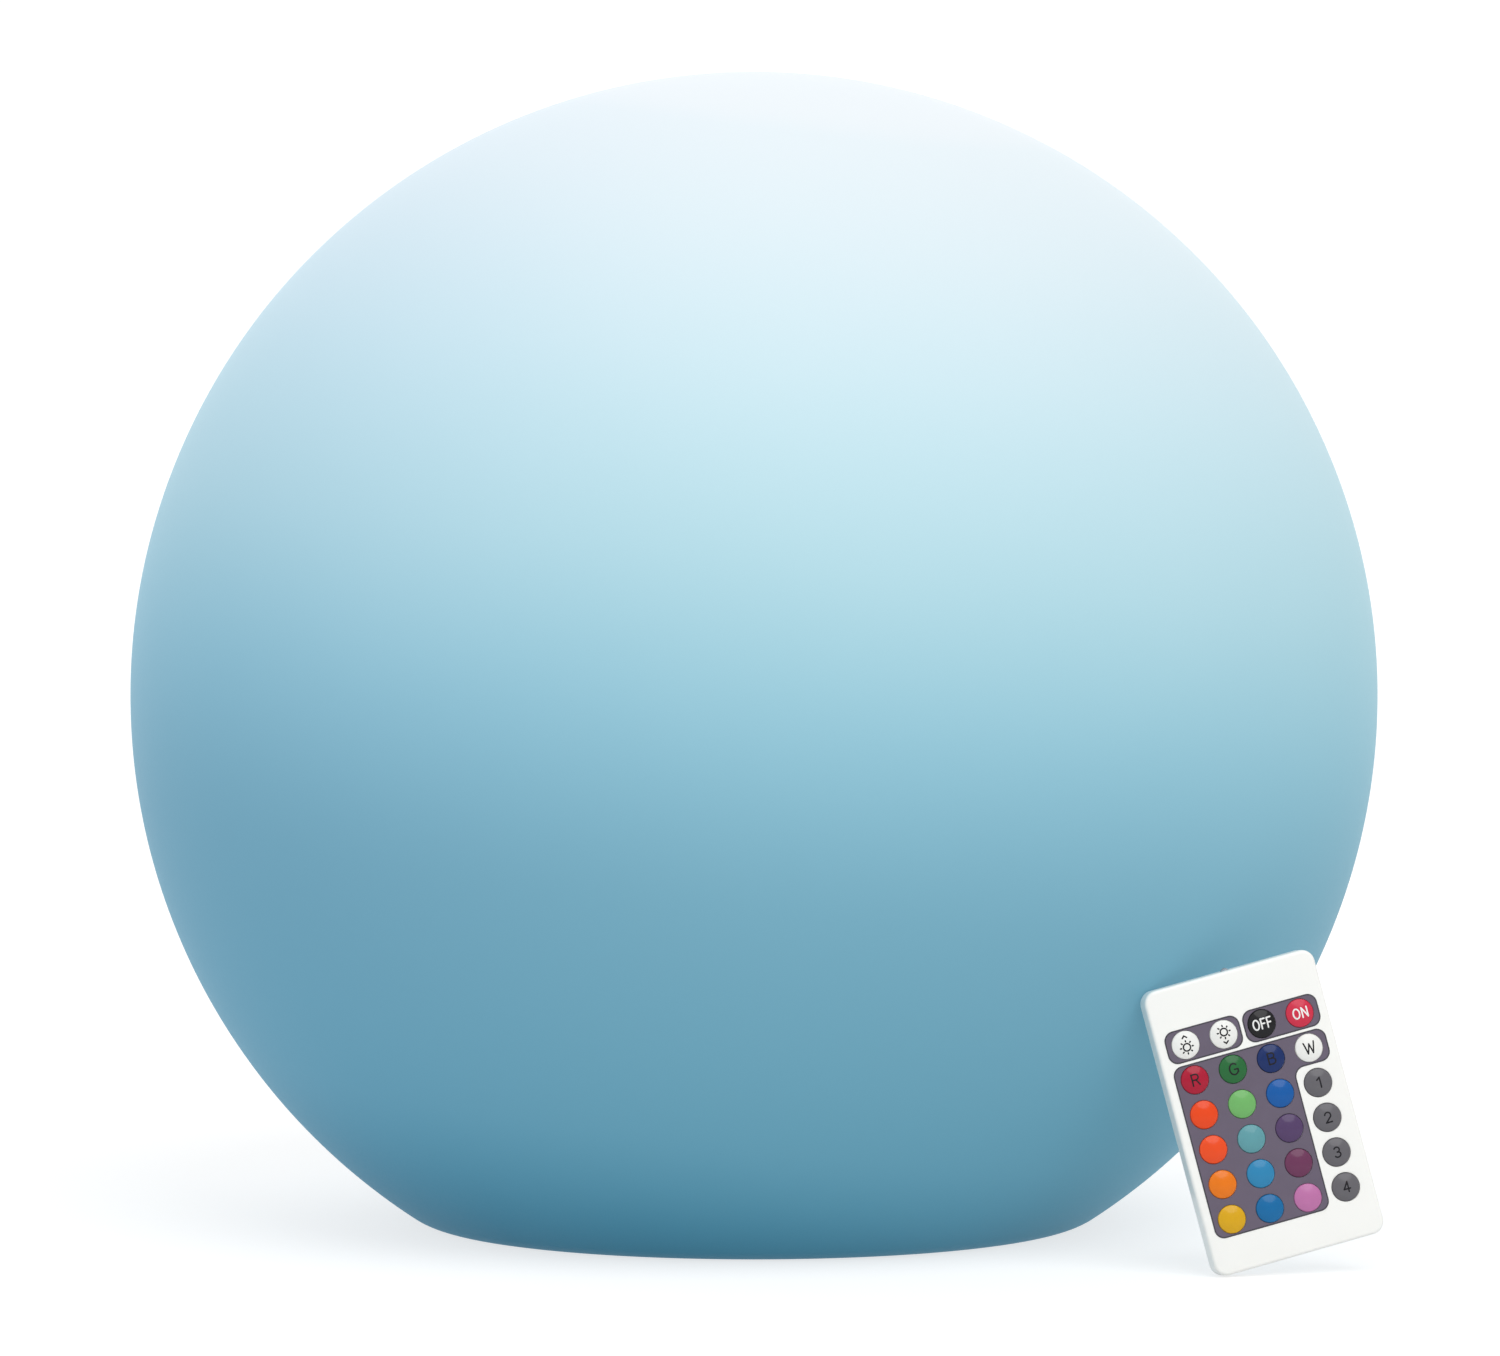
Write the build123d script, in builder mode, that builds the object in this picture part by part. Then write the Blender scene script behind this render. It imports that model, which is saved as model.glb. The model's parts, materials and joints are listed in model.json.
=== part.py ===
from build123d import *
import os
from math import cos, radians, sin, sqrt

# Garden globe light: a rotationally moulded ball with a sealed, rechargeable lamp module let into its
# foot, and the card remote that leans against it. Millimetres, +Z up. The origin is on the ground
# under the middle of the ball, and the front, where the remote stands, faces -Y.

os.makedirs("parts", exist_ok=True)

# ---------------------------------------------------------------------------------- driving sizes

# Ball
BALL_D = 380.0  # outside of the moulded ball
FOOT_CUT = 28.5  # height that the flat foot takes off the ball
SHELL_T = 3.2  # wall of the moulding
FOOT_EDGE_R = 20.0  # rounding between the ball and its flat foot
WELL_DEPTH = 14.0  # ground to the ledge that the lamp module bolts to
WELL_GAP = 3.0  # between the module's flange and the wall of the well
WELL_EDGE_R = 3.0  # rounding at the mouth of the well
NECK_GAP = 1.0  # between the module's cup and the neck that it passes through

# Lamp module: cup, deck and flange
CUP_BORE_R = 43.5
CUP_T = 2.5
CUP_DEPTH = 48.0  # flange face to the underside of the deck
DECK_T = 2.5
FLANGE_W = 21.5  # how far the flange reaches beyond the cup
FLANGE_T = 3.0
GASKET_T = 1.5
GASKET_MARGIN = 1.5  # gasket edge inside the flange, and outside the neck

# Flange screws and their moulded-in inserts
FLANGE_SCREWS = 4
FLANGE_SCREW_IN = 9.0  # from the flange's edge
SCREW_R = 2.0  # M4
SCREW_HEAD_R = 4.0
SCREW_HEAD_H = 2.6
SCREW_L = 12.0
INSERT_R = 3.5
INSERT_L = 9.0
BOSS_WALL = 3.0

# Small screws, M3, used all over the module
PIN_R = 1.45
PIN_L = 7.0
PIN_HEAD_R = 2.6
PIN_HEAD_H = 1.8
PIN_POST_R = 3.2
PIN_SPARE = 1.0  # how much deeper than its screw a blind hole goes
HEX_SHARE = 0.45  # hexagon socket radius as a share of its screw head
HEX_DEPTH_SHARE = 0.6  # its depth as a share of the head's height
CLEAR = 0.15  # screw shank in a clearance hole

# Base cover
COVER_LAP = 6.0  # how far the cover reaches beyond the cup
COVER_T = 3.0
COVER_EDGE_R = 1.0
SPIGOT_H = 5.0
SPIGOT_T = 2.7
SPIGOT_GAP = 0.3
SEAL_R = 0.75  # section radius of the cover's sealing ring
COVER_SCREWS = 4
COVER_SCREW_IN = 7.0  # from the bore of the cup
COVER_SCREW_L = 9.0
POST_GAP = 1.0  # between the spigot and the webs of the posts
STANDOFF_H = 9.5
STANDOFF_R = 2.6
STANDOFF_IN = 4.0  # from the edge of the control board
STANDOFF_ANGLE = 30.0

# Power button and switch
BUTTON_R = 8.0
BUTTON_GAP = 0.3
BUTTON_PROUD = 1.6
BUTTON_DISH = 0.5  # depth of its fingertip dish
BUTTON_DISH_R = 32.0
BUTTON_TRAVEL = 0.8
BUTTON_FLANGE = 1.6  # how far its flange reaches beyond the cap
BUTTON_FLANGE_T = 1.2
SWITCH_SIDE = 12.0
SWITCH_CORNER = 1.0
SWITCH_H = 3.5
PLUNGER_R = 1.7
PLUNGER_FOOT_R = 3.4
PLUNGER_ROOM = 1.2  # between the pressed plunger and the board
RUN = 0.05  # running gap between faces that slide or meet when pressed

# Control board
BOARD_T = 1.6
BOARD_ROOM = 2.3  # between the board and the posts round it
CONTROLLER_SIDE = 9.0
CONTROLLER_H = 1.2
CONTROLLER_X = -6.0
CONTROLLER_Y = 4.0
COIL_SIDE = 8.0
COIL_H = 4.0
COIL_X = 9.0
COIL_Y = -3.0
CAPACITOR_R = 3.2
CAPACITOR_H = 7.0
CAPACITOR_X = -10.0
CAPACITOR_Y = -12.0
CAPACITOR_PITCH = 8.0

# Charge socket and its flap
SOCKET_Y = -22.0
SOCKET_BORE_R = 2.85
SOCKET_WALL = 1.15
SOCKET_PIN_R = 1.0
SOCKET_SIDE = 10.0
SOCKET_BACK = 2.0
FLAP_R = 7.2
FLAP_T = 1.45
FLAP_TAB_W = 8.0
FLAP_TAB_T = 0.95
FLAP_SPIGOT_R = 2.4
FLAP_SPIGOT_BORE_R = 1.4
FLAP_SPIGOT_H = 2.0
FLAP_RECESS = 1.5
HINGE_OUT = 11.0  # hinge line beyond the middle of the socket
HINGE_SLIT = 0.8
ANCHOR_L = 6.0
STUD_R = 1.8
STUD_HEAD_R = 2.5
STUD_HEAD_T = 1.0

# Status light
STATUS_Y = 15.0
STATUS_R = 1.5
STATUS_FLANGE = 0.8
STATUS_FLANGE_T = 1.0

# Lights and lens on the deck
LENS_IN = 10.0  # from the edge of the deck
LENS_H = 24.0
LENS_T = 2.0
LENS_FOOT_T = 2.5
LENS_FOOT_IN = 1.0
LENS_SCREWS = 4
LENS_SCREW_IN = 5.5
LENS_SEAL_W = 2.4
LENS_SEAL_T = 1.0
LED_BOARD_GAP = 2.5  # between the light board and the lens
LED_COUNT = 12
LED_RING_IN = 9.5  # from the edge of the light board
LED_SIDE = 5.0
LED_H = 1.6
LED_CUP_R = 1.8
LED_CUP_DEPTH = 0.4
RECEIVER_W = 6.0
RECEIVER_D = 4.6
RECEIVER_H = 6.5
RECEIVER_DOME_R = 2.1

# Battery pack
CELL_R = 9.2
CELL_L = 65.0
CELL_GAP = 0.2
CELL_TIP_R = 3.0
CELL_TIP_L = 1.0
PAD_T = 1.5
PAD_IN = 4.0  # from each end of the cells
STRAP_T = 1.2
STRAP_W = 20.0
STRAP_GAP = 0.3
STRAP_EAR = 8.5
STRAP_POST_L = 7.5
STRAP_HOLE_END = 0.5  # wall left above the strap's screw holes

# Lamp leads
LEAD_X = 15.0
LEAD_OUT = 4.0  # beyond the strap
LEAD_W = 6.0
LEAD_T = 1.2
LEAD_SLOT = 0.5  # room round the leads in the deck
LEAD_PLUG_W = 8.0
LEAD_PLUG_T = 4.0
LEAD_PLUG_H = 5.0

# Remote: case
REMOTE_W = 53.5
REMOTE_L = 87.0
REMOTE_CORNER_R = 4.0
REMOTE_EDGE_R = 1.0
CASE_T = 1.4
CASE_FLOOR = 1.2
PLATE_T = 1.1
CARD_GAP = 0.4
CARD_T = 0.8
CARD_POST_R = 1.4
CARD_POST_IN = 4.6  # from the side of the case
CARD_POST_PITCH = 14.0
MAT_T = 0.5
MAT_DOME_R = 2.8
MAT_DOME_H = 0.25
MAT_MARGIN = 6.0
INLAY_T = 0.2

# Remote: keys
KEY_SIDE = 8.75  # middle of an outer key to the side of the case
KEY_PITCH_Y = 10.66
KEYPAD_Y = -1.05  # middle of the keypad, measured from the middle of the case
KEY_R = 4.2
KEY_GAP = 0.15
KEY_FLANGE = 0.7  # how far its flange reaches beyond the cap
KEY_FLANGE_T = 0.5
KEY_RIM = 0.35
KEY_CROWN = 0.75
KEY_TRAVEL = 0.5

# Remote: printed areas round the keys
AREA_MARGIN = 6.0  # area edge beyond the middle of an outer key, across
AREA_RIM = 0.58  # area edge beyond the keys' holes, along
AREA_CORNER_R = 3.0
AREA_SLIT = 1.0  # white strip between the two areas of the top row

# Remote: battery tray and infrared light
TRAY_FLOOR = 0.4
TRAY_GAP = 0.3
TRAY_SIDE = 2.0  # tray beyond its cell, at the sides
TRAY_FRONT = 3.2  # at the end that shows
TRAY_REAR = 3.5
TRAY_LIP = 0.7
TRAY_LIP_T = 0.8
TRAY_RAIL = 2.0
COIN_R = 10.0
COIN_T = 2.5
COIN_EDGE_R = 0.5
COIN_GAP = 0.15
COIN_HOLE_R = 3.3  # hole that a fingertip or a pen pushes the cell out by
CONTACT_W = 3.0
CONTACT_L = 10.0
CONTACT_T = 0.2
CONTACT_X = 5.0
EMITTER_R = 1.5
EMITTER_L = 6.5
EMITTER_PROUD = 0.8
EMITTER_ROOM = 0.5  # round the emitter in the card
EMITTER_LEG = 0.5
EMITTER_LEG_L = 1.0
CHIP_R = 4.0
CHIP_Y = 20.0
CHIP_T = 1.0
CHIP_EDGE_R = 0.7

# Remote: how it leans
REMOTE_IN = 39.0  # middle of its face, in from the ball's right side
REMOTE_YAW = 12.0  # its face turns to the right
REMOTE_PITCH = 6.0  # its face looks up
REMOTE_ROLL = 14.0  # its top leans to the left
LEAN_GAP = 0.3  # between its edge and the ball

# ----------------------------------------------------------------------------------- worked out

BALL_R = BALL_D / 2
BALL_Z = BALL_R - FOOT_CUT
CUP_R = CUP_BORE_R + CUP_T
NECK_R = CUP_R + NECK_GAP
FLANGE_R = CUP_R + FLANGE_W
FLANGE_PITCH_R = FLANGE_R - FLANGE_SCREW_IN
WELL_R = FLANGE_R + WELL_GAP
COVER_R = CUP_R + COVER_LAP
COVER_PITCH_R = CUP_BORE_R - COVER_SCREW_IN
BOARD_R = COVER_PITCH_R - PIN_POST_R - BOARD_ROOM
STANDOFF_X = (BOARD_R - STANDOFF_IN) * cos(radians(STANDOFF_ANGLE))
STANDOFF_Y = (BOARD_R - STANDOFF_IN) * sin(radians(STANDOFF_ANGLE))

FLANGE_TOP = WELL_DEPTH - GASKET_T
FLANGE_LOW = FLANGE_TOP - FLANGE_T
DECK_LOW = FLANGE_LOW + CUP_DEPTH
DECK_TOP = DECK_LOW + DECK_T
COVER_LOW = FLANGE_LOW - COVER_T
BOARD_LOW = FLANGE_LOW + STANDOFF_H
BOARD_TOP = BOARD_LOW + BOARD_T
LENS_R = CUP_R - LENS_IN
LENS_TOP = DECK_TOP + LENS_H
LENS_PITCH_R = CUP_R - LENS_SCREW_IN
LENS_FOOT_R = CUP_R - LENS_FOOT_IN
LENS_FOOT_TOP = DECK_TOP + LENS_FOOT_T
LED_BOARD_R = LENS_R - LENS_T - LED_BOARD_GAP
LED_RING_R = LED_BOARD_R - LED_RING_IN
LED_TOP = DECK_TOP + BOARD_T
CELL_Z = DECK_LOW - PAD_T - CELL_R
CELL_Y = CELL_R + CELL_GAP / 2
STRAP_IN_Y = CELL_Y + CELL_R + STRAP_GAP
STRAP_OUT_Y = STRAP_IN_Y + STRAP_T
STRAP_LOW = CELL_Z - CELL_R - STRAP_GAP - STRAP_T
STRAP_EAR_TOP = DECK_LOW - STRAP_POST_L
STRAP_POST_Y = STRAP_OUT_Y + STRAP_EAR / 2
LEAD_Y = STRAP_OUT_Y + LEAD_OUT
SCREW_HOLE_R = SCREW_R + CLEAR
PIN_HOLE_R = PIN_R + CLEAR
FLAP_TOP = COVER_LOW + FLAP_RECESS - RUN
FLAP_LOW = FLAP_TOP - FLAP_T
HINGE_Y = SOCKET_Y - HINGE_OUT
HINGE_Z = FLAP_TOP - FLAP_TAB_T
SOCKET_R = SOCKET_BORE_R + SOCKET_WALL
SOCKET_LOW = COVER_LOW + FLAP_RECESS + RUN
SWITCH_LOW = BOARD_LOW - SWITCH_H
BUTTON_LOW = COVER_LOW - BUTTON_PROUD
BUTTON_FLANGE_LOW = FLANGE_LOW + RUN
PLUNGER_LOW = SWITCH_LOW - BUTTON_TRAVEL - 2 * RUN - BUTTON_FLANGE_T
PLUNGER_TOP = BOARD_LOW - BUTTON_TRAVEL - PLUNGER_ROOM

# Remote: heights above its back, from the cell in its tray up to the tops of the keys
TRAY_T = TRAY_FLOOR + COIN_T
CASE_SPLIT = TRAY_T + TRAY_GAP  # joint between back and front shells, and underside of the card
MAT_LOW = CASE_SPLIT + CARD_T
MAT_TOP = MAT_LOW + MAT_T
KEY_LOW = MAT_TOP + MAT_DOME_H + RUN + KEY_TRAVEL + RUN
KEY_FLANGE_TOP = KEY_LOW + KEY_FLANGE_T
PLATE_LOW = KEY_FLANGE_TOP + RUN
REMOTE_T = PLATE_LOW + PLATE_T
KEY_RIM_Z = REMOTE_T + KEY_RIM
TRAY_W = 2 * (COIN_R + TRAY_SIDE)
TRAY_L = TRAY_FRONT + 2 * (COIN_R + COIN_GAP) + TRAY_REAR
TRAY_LIP_Z = (TRAY_T - TRAY_LIP_T) / 2
COIN_Y = -REMOTE_L / 2 + TRAY_FRONT + COIN_GAP + COIN_R
EMITTER_Z = CASE_SPLIT + CARD_T / 2
EMITTER_Y = REMOTE_L / 2 + EMITTER_PROUD - EMITTER_L

BASE =(Align.CENTER, Align.CENTER, Align.MIN)
HUNG = (Align.CENTER, Align.CENTER, Align.MAX)


def post(radius, low, high, mode=Mode.ADD):
    """Upright round bar between two heights, at each current location."""
    with Locations((0, 0, low)):
        Cylinder(radius, high - low, align=BASE, mode=mode)


def pan_screw(shank_r, shank_l, head_r, head_h):
    """Pan-head screw with a hexagon socket: head below the origin, shank up."""
    with BuildPart() as screw:
        Cylinder(head_r, head_h, align=HUNG)
        fillet(screw.edges().sort_by(Axis.Z)[0], head_h / 2)
        Cylinder(shank_r, shank_l, align=BASE)
        with BuildSketch(Plane.XY.offset(-head_h)):
            RegularPolygon(head_r * HEX_SHARE, 6)
        extrude(amount=head_h * HEX_DEPTH_SHARE, mode=Mode.SUBTRACT)
    return screw.part


def save(built, name):
    """Label a finished piece and write it to its own file."""
    built.part.label = name
    export_step(built.part, f"parts/{name}.step")


# ------------------------------------------------------------------------------------------ ball

BOSS_TOP = WELL_DEPTH + INSERT_L + BOSS_WALL

# The half section is the ball cut flat, less the well for the lamp module, hollowed by its wall.
with BuildPart() as globe_shell:
    with BuildSketch(Plane.XZ) as section:
        with Locations((0, BALL_Z)):
            Circle(BALL_R)
        with Locations((0, -BALL_D)):
            Rectangle(2 * BALL_D, 2 * BALL_D, mode=Mode.SUBTRACT)
        Rectangle(2 * WELL_R, WELL_DEPTH, align=(Align.CENTER, Align.MIN), mode=Mode.SUBTRACT)
        on_ground = section.vertices().filter_by_position(Axis.Y, -0.01, 0.01).sort_by(Axis.X)
        fillet([on_ground[0], on_ground[-1]], FOOT_EDGE_R)
        on_ground = section.vertices().filter_by_position(Axis.Y, -0.01, 0.01).sort_by(Axis.X)
        fillet([on_ground[1], on_ground[2]], WELL_EDGE_R)
        offset(amount=-SHELL_T, mode=Mode.SUBTRACT)
        Rectangle(BALL_D, 2 * BALL_D, align=(Align.MIN, Align.CENTER), mode=Mode.INTERSECT)
    revolve(axis=Axis.Z)
    # bosses round the moulded-in inserts, then the neck
    with PolarLocations(FLANGE_PITCH_R, FLANGE_SCREWS):
        post(INSERT_R + BOSS_WALL, WELL_DEPTH + SHELL_T / 2, BOSS_TOP)
        post(INSERT_R, WELL_DEPTH, WELL_DEPTH + INSERT_L, Mode.SUBTRACT)
    post(NECK_R, WELL_DEPTH, BOSS_TOP, Mode.SUBTRACT)
save(globe_shell, "globe_shell")

with BuildPart() as shell_inserts:
    with PolarLocations(FLANGE_PITCH_R, FLANGE_SCREWS):
        post(INSERT_R, WELL_DEPTH, WELL_DEPTH + INSERT_L)
        post(SCREW_R, WELL_DEPTH, WELL_DEPTH + INSERT_L, Mode.SUBTRACT)
save(shell_inserts, "shell_inserts")

# ----------------------------------------------------------------------------- module housing

with BuildPart() as flange_gasket:
    post(FLANGE_R - GASKET_MARGIN, FLANGE_TOP, WELL_DEPTH)
    post(NECK_R + GASKET_MARGIN, FLANGE_TOP, WELL_DEPTH, Mode.SUBTRACT)
    with PolarLocations(FLANGE_PITCH_R, FLANGE_SCREWS):
        post(SCREW_HOLE_R, FLANGE_TOP, WELL_DEPTH, Mode.SUBTRACT)
save(flange_gasket, "flange_gasket")

with BuildPart() as lamp_housing:
    with BuildSketch(Plane.XZ):
        with BuildLine():
            Polyline(
                (CUP_BORE_R, FLANGE_LOW),
                (FLANGE_R, FLANGE_LOW),
                (FLANGE_R, FLANGE_TOP),
                (CUP_R, FLANGE_TOP),
                (CUP_R, DECK_TOP),
                (0, DECK_TOP),
                (0, DECK_LOW),
                (CUP_BORE_R, DECK_LOW),
                close=True,
            )
        make_face()
    revolve(axis=Axis.Z)
    # posts for the cover screws, each webbed to the wall of the cup
    with PolarLocations(COVER_PITCH_R, COVER_SCREWS, start_angle=45):
        post(PIN_POST_R, FLANGE_LOW, DECK_LOW)
        with Locations((0, 0, FLANGE_LOW + SPIGOT_H + POST_GAP)):
            Box(
                CUP_BORE_R + CUP_T / 2 - COVER_PITCH_R,
                CUP_T / 2,
                CUP_DEPTH - SPIGOT_H - POST_GAP,
                align=(Align.MIN, Align.CENTER, Align.MIN),
            )
        post(PIN_R, FLANGE_LOW, FLANGE_LOW + COVER_SCREW_L, Mode.SUBTRACT)
    # posts for the lens screws and the battery strap screws, hung from the deck
    with PolarLocations(LENS_PITCH_R, LENS_SCREWS):
        post(PIN_POST_R, DECK_LOW - PIN_L, DECK_LOW)
        post(PIN_R, LENS_FOOT_TOP - PIN_L - PIN_SPARE, DECK_TOP, Mode.SUBTRACT)
    with Locations((0, STRAP_POST_Y), (0, -STRAP_POST_Y)):
        post(PIN_POST_R, STRAP_EAR_TOP, DECK_LOW)
        post(PIN_R, STRAP_EAR_TOP, DECK_LOW - STRAP_HOLE_END, Mode.SUBTRACT)
    # groove for the lens seal, slot for the leads, flange holes
    post(LENS_R + LENS_SEAL_W / 2, DECK_TOP - LENS_SEAL_T, DECK_TOP, Mode.SUBTRACT)
    post(LENS_R - LENS_SEAL_W / 2, DECK_TOP - LENS_SEAL_T, DECK_TOP)
    with Locations((LEAD_X, LEAD_Y, DECK_TOP)):
        Box(LEAD_W + 2 * LEAD_SLOT, LEAD_T + 2 * LEAD_SLOT, 2 * DECK_T, mode=Mode.SUBTRACT)
    with PolarLocations(FLANGE_PITCH_R, FLANGE_SCREWS):
        post(SCREW_HOLE_R, FLANGE_LOW, FLANGE_TOP, Mode.SUBTRACT)
save(lamp_housing, "lamp_housing")

flange_screw = pan_screw(SCREW_R, SCREW_L, SCREW_HEAD_R, SCREW_HEAD_H)
with BuildPart() as flange_screws:
    with Locations((0, 0, FLANGE_LOW)):
        with PolarLocations(FLANGE_PITCH_R, FLANGE_SCREWS):
            add(flange_screw)
save(flange_screws, "flange_screws")

# ---------------------------------------------------------------------------------- base cover

SPIGOT_R = CUP_BORE_R - SPIGOT_GAP
SEAL_PATH_R = CUP_BORE_R - SEAL_R - RUN
SEAL_Z = FLANGE_LOW + SPIGOT_H / 2

with BuildPart() as base_cover:
    post(COVER_R, COVER_LOW, FLANGE_LOW)
    fillet(base_cover.edges().sort_by(Axis.Z)[0], COVER_EDGE_R)
    post(SPIGOT_R, FLANGE_LOW, FLANGE_LOW + SPIGOT_H)
    post(SPIGOT_R - SPIGOT_T, FLANGE_LOW, FLANGE_LOW + SPIGOT_H, Mode.SUBTRACT)
    # groove round the spigot for its sealing ring
    with BuildSketch(Plane.XZ):
        with Locations((SEAL_PATH_R - SEAL_R - RUN, SEAL_Z)):
            Rectangle(4 * SEAL_R, 2 * SEAL_R + 2 * RUN, align=(Align.MIN, Align.CENTER))
    revolve(axis=Axis.Z, mode=Mode.SUBTRACT)
    # stand-offs for the control board
    with GridLocations(2 * STANDOFF_X, 2 * STANDOFF_Y, 2, 2):
        post(STANDOFF_R, FLANGE_LOW, BOARD_LOW)
        post(PIN_R, BOARD_LOW - PIN_L, BOARD_LOW, Mode.SUBTRACT)
    # countersunk holes for the cover screws
    with Locations((0, 0, COVER_LOW)):
        with PolarLocations(COVER_PITCH_R, COVER_SCREWS, start_angle=45):
            Cone(
                PIN_HEAD_R + CLEAR,
                PIN_HOLE_R,
                PIN_HEAD_R - PIN_R,
                align=BASE,
                mode=Mode.SUBTRACT,
            )
    with PolarLocations(COVER_PITCH_R, COVER_SCREWS, start_angle=45):
        post(PIN_HOLE_R, COVER_LOW, FLANGE_LOW, Mode.SUBTRACT)
    # button, status light and charge socket
    post(BUTTON_R + BUTTON_GAP, COVER_LOW, FLANGE_LOW, Mode.SUBTRACT)
    with Locations((0, STATUS_Y)):
        post(STATUS_R + RUN, COVER_LOW, FLANGE_LOW, Mode.SUBTRACT)
    with Locations((0, SOCKET_Y)):
        post(FLAP_R + BUTTON_GAP, COVER_LOW, COVER_LOW + FLAP_RECESS, Mode.SUBTRACT)
        post(SOCKET_R + CLEAR, COVER_LOW, FLANGE_LOW, Mode.SUBTRACT)
    with Locations((0, HINGE_Y - HINGE_SLIT / 2 - ANCHOR_L - BUTTON_GAP, COVER_LOW)):
        Box(
            FLAP_TAB_W + 2 * BUTTON_GAP,
            SOCKET_Y - HINGE_Y + ANCHOR_L,
            FLAP_RECESS,
            align=(Align.CENTER, Align.MIN, Align.MIN),
            mode=Mode.SUBTRACT,
        )
    with Locations((0, HINGE_Y - ANCHOR_L / 2)):
        post(STUD_R, COVER_LOW, FLANGE_LOW, Mode.SUBTRACT)
save(base_cover, "base_cover")

with BuildPart() as cover_seal:
    with BuildSketch(Plane.XZ):
        with Locations((SEAL_PATH_R, SEAL_Z)):
            Circle(SEAL_R)
    revolve(axis=Axis.Z)
save(cover_seal, "cover_seal")

with BuildPart() as cover_screw:
    Cone(PIN_HEAD_R, PIN_R, PIN_HEAD_R - PIN_R, align=BASE)
    Cylinder(PIN_R, COVER_SCREW_L + COVER_T - CLEAR, align=BASE)
    with BuildSketch():
        RegularPolygon(PIN_HEAD_R * HEX_SHARE, 6)
    extrude(amount=PIN_HEAD_R - PIN_R, mode=Mode.SUBTRACT)

with BuildPart() as cover_screws:
    with Locations((0, 0, COVER_LOW + RUN)):
        with PolarLocations(COVER_PITCH_R, COVER_SCREWS, start_angle=45):
            add(cover_screw.part)
save(cover_screws, "cover_screws")

# ------------------------------------------------------------------------- power button, switch

with BuildPart() as power_button:
    post(BUTTON_R, BUTTON_LOW, BUTTON_FLANGE_LOW)
    fillet(power_button.edges().sort_by(Axis.Z)[0], BUTTON_PROUD / 2)
    post(BUTTON_R + BUTTON_FLANGE, BUTTON_FLANGE_LOW, BUTTON_FLANGE_LOW + BUTTON_FLANGE_T)
    post(PLUNGER_FOOT_R, BUTTON_FLANGE_LOW + BUTTON_FLANGE_T, PLUNGER_LOW)
    with Locations((0, 0, BUTTON_LOW - BUTTON_DISH_R + BUTTON_DISH)):
        Sphere(BUTTON_DISH_R, mode=Mode.SUBTRACT)
save(power_button, "power_button")

with BuildPart() as switch_plunger:
    post(PLUNGER_R, PLUNGER_LOW, PLUNGER_TOP)
save(switch_plunger, "switch_plunger")

with BuildPart() as power_switch:
    with Locations((0, 0, SWITCH_LOW)):
        Box(SWITCH_SIDE, SWITCH_SIDE, SWITCH_H, align=BASE)
    chamfer(power_switch.edges().filter_by(Axis.Z), SWITCH_CORNER)
    post(PLUNGER_R + CLEAR, SWITCH_LOW, PLUNGER_TOP + BUTTON_TRAVEL + RUN, Mode.SUBTRACT)
save(power_switch, "power_switch")

# -------------------------------------------------------------------------------- control board

with BuildPart() as control_board:
    post(BOARD_R, BOARD_LOW, BOARD_TOP)
    with GridLocations(2 * STANDOFF_X, 2 * STANDOFF_Y, 2, 2):
        post(PIN_HOLE_R, BOARD_LOW, BOARD_TOP, Mode.SUBTRACT)
    # controller chip, charging coil and two capacitors
    with Locations((CONTROLLER_X, CONTROLLER_Y, BOARD_TOP)):
        Box(CONTROLLER_SIDE, CONTROLLER_SIDE, CONTROLLER_H, align=BASE)
    with Locations((COIL_X, COIL_Y, BOARD_TOP)):
        Box(COIL_SIDE, COIL_SIDE, COIL_H, align=BASE)
    with Locations((CAPACITOR_X, CAPACITOR_Y)):
        with GridLocations(CAPACITOR_PITCH, 0, 2, 1):
            post(CAPACITOR_R, BOARD_TOP, BOARD_TOP + CAPACITOR_H)
save(control_board, "control_board")

with BuildPart() as charge_socket:
    with Locations((0, SOCKET_Y)):
        with Locations((0, 0, FLANGE_LOW + SPIGOT_GAP)):
            Box(SOCKET_SIDE, SOCKET_SIDE, BOARD_LOW - FLANGE_LOW - SPIGOT_GAP, align=BASE)
        post(SOCKET_R, SOCKET_LOW, FLANGE_LOW + SPIGOT_GAP)
        post(SOCKET_BORE_R, SOCKET_LOW, BOARD_LOW - SOCKET_BACK, Mode.SUBTRACT)
        post(SOCKET_PIN_R, FLANGE_LOW, BOARD_LOW - SOCKET_BACK)
save(charge_socket, "charge_socket")

with BuildPart() as socket_flap:
    with Locations((0, SOCKET_Y)):
        post(FLAP_R, FLAP_LOW, FLAP_TOP)
    with Locations((0, HINGE_Y + HINGE_SLIT / 2, HINGE_Z)):
        Box(
            FLAP_TAB_W,
            SOCKET_Y - HINGE_Y - HINGE_SLIT / 2,
            FLAP_TAB_T,
            align=(Align.CENTER, Align.MIN, Align.MIN),
        )
    with Locations((0, SOCKET_Y)):
        post(FLAP_SPIGOT_R, FLAP_TOP, FLAP_TOP + FLAP_SPIGOT_H)
        post(FLAP_SPIGOT_BORE_R, FLAP_TOP, FLAP_TOP + FLAP_SPIGOT_H, Mode.SUBTRACT)
save(socket_flap, "socket_flap")

with BuildPart() as flap_anchor:
    with Locations((0, HINGE_Y - HINGE_SLIT / 2, HINGE_Z)):
        Box(FLAP_TAB_W, ANCHOR_L, FLAP_TAB_T, align=(Align.CENTER, Align.MAX, Align.MIN))
    with Locations((0, HINGE_Y - ANCHOR_L / 2)):
        post(STUD_R, HINGE_Z, FLANGE_LOW)
        post(STUD_HEAD_R, FLANGE_LOW, FLANGE_LOW + STUD_HEAD_T)
save(flap_anchor, "flap_anchor")

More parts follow.
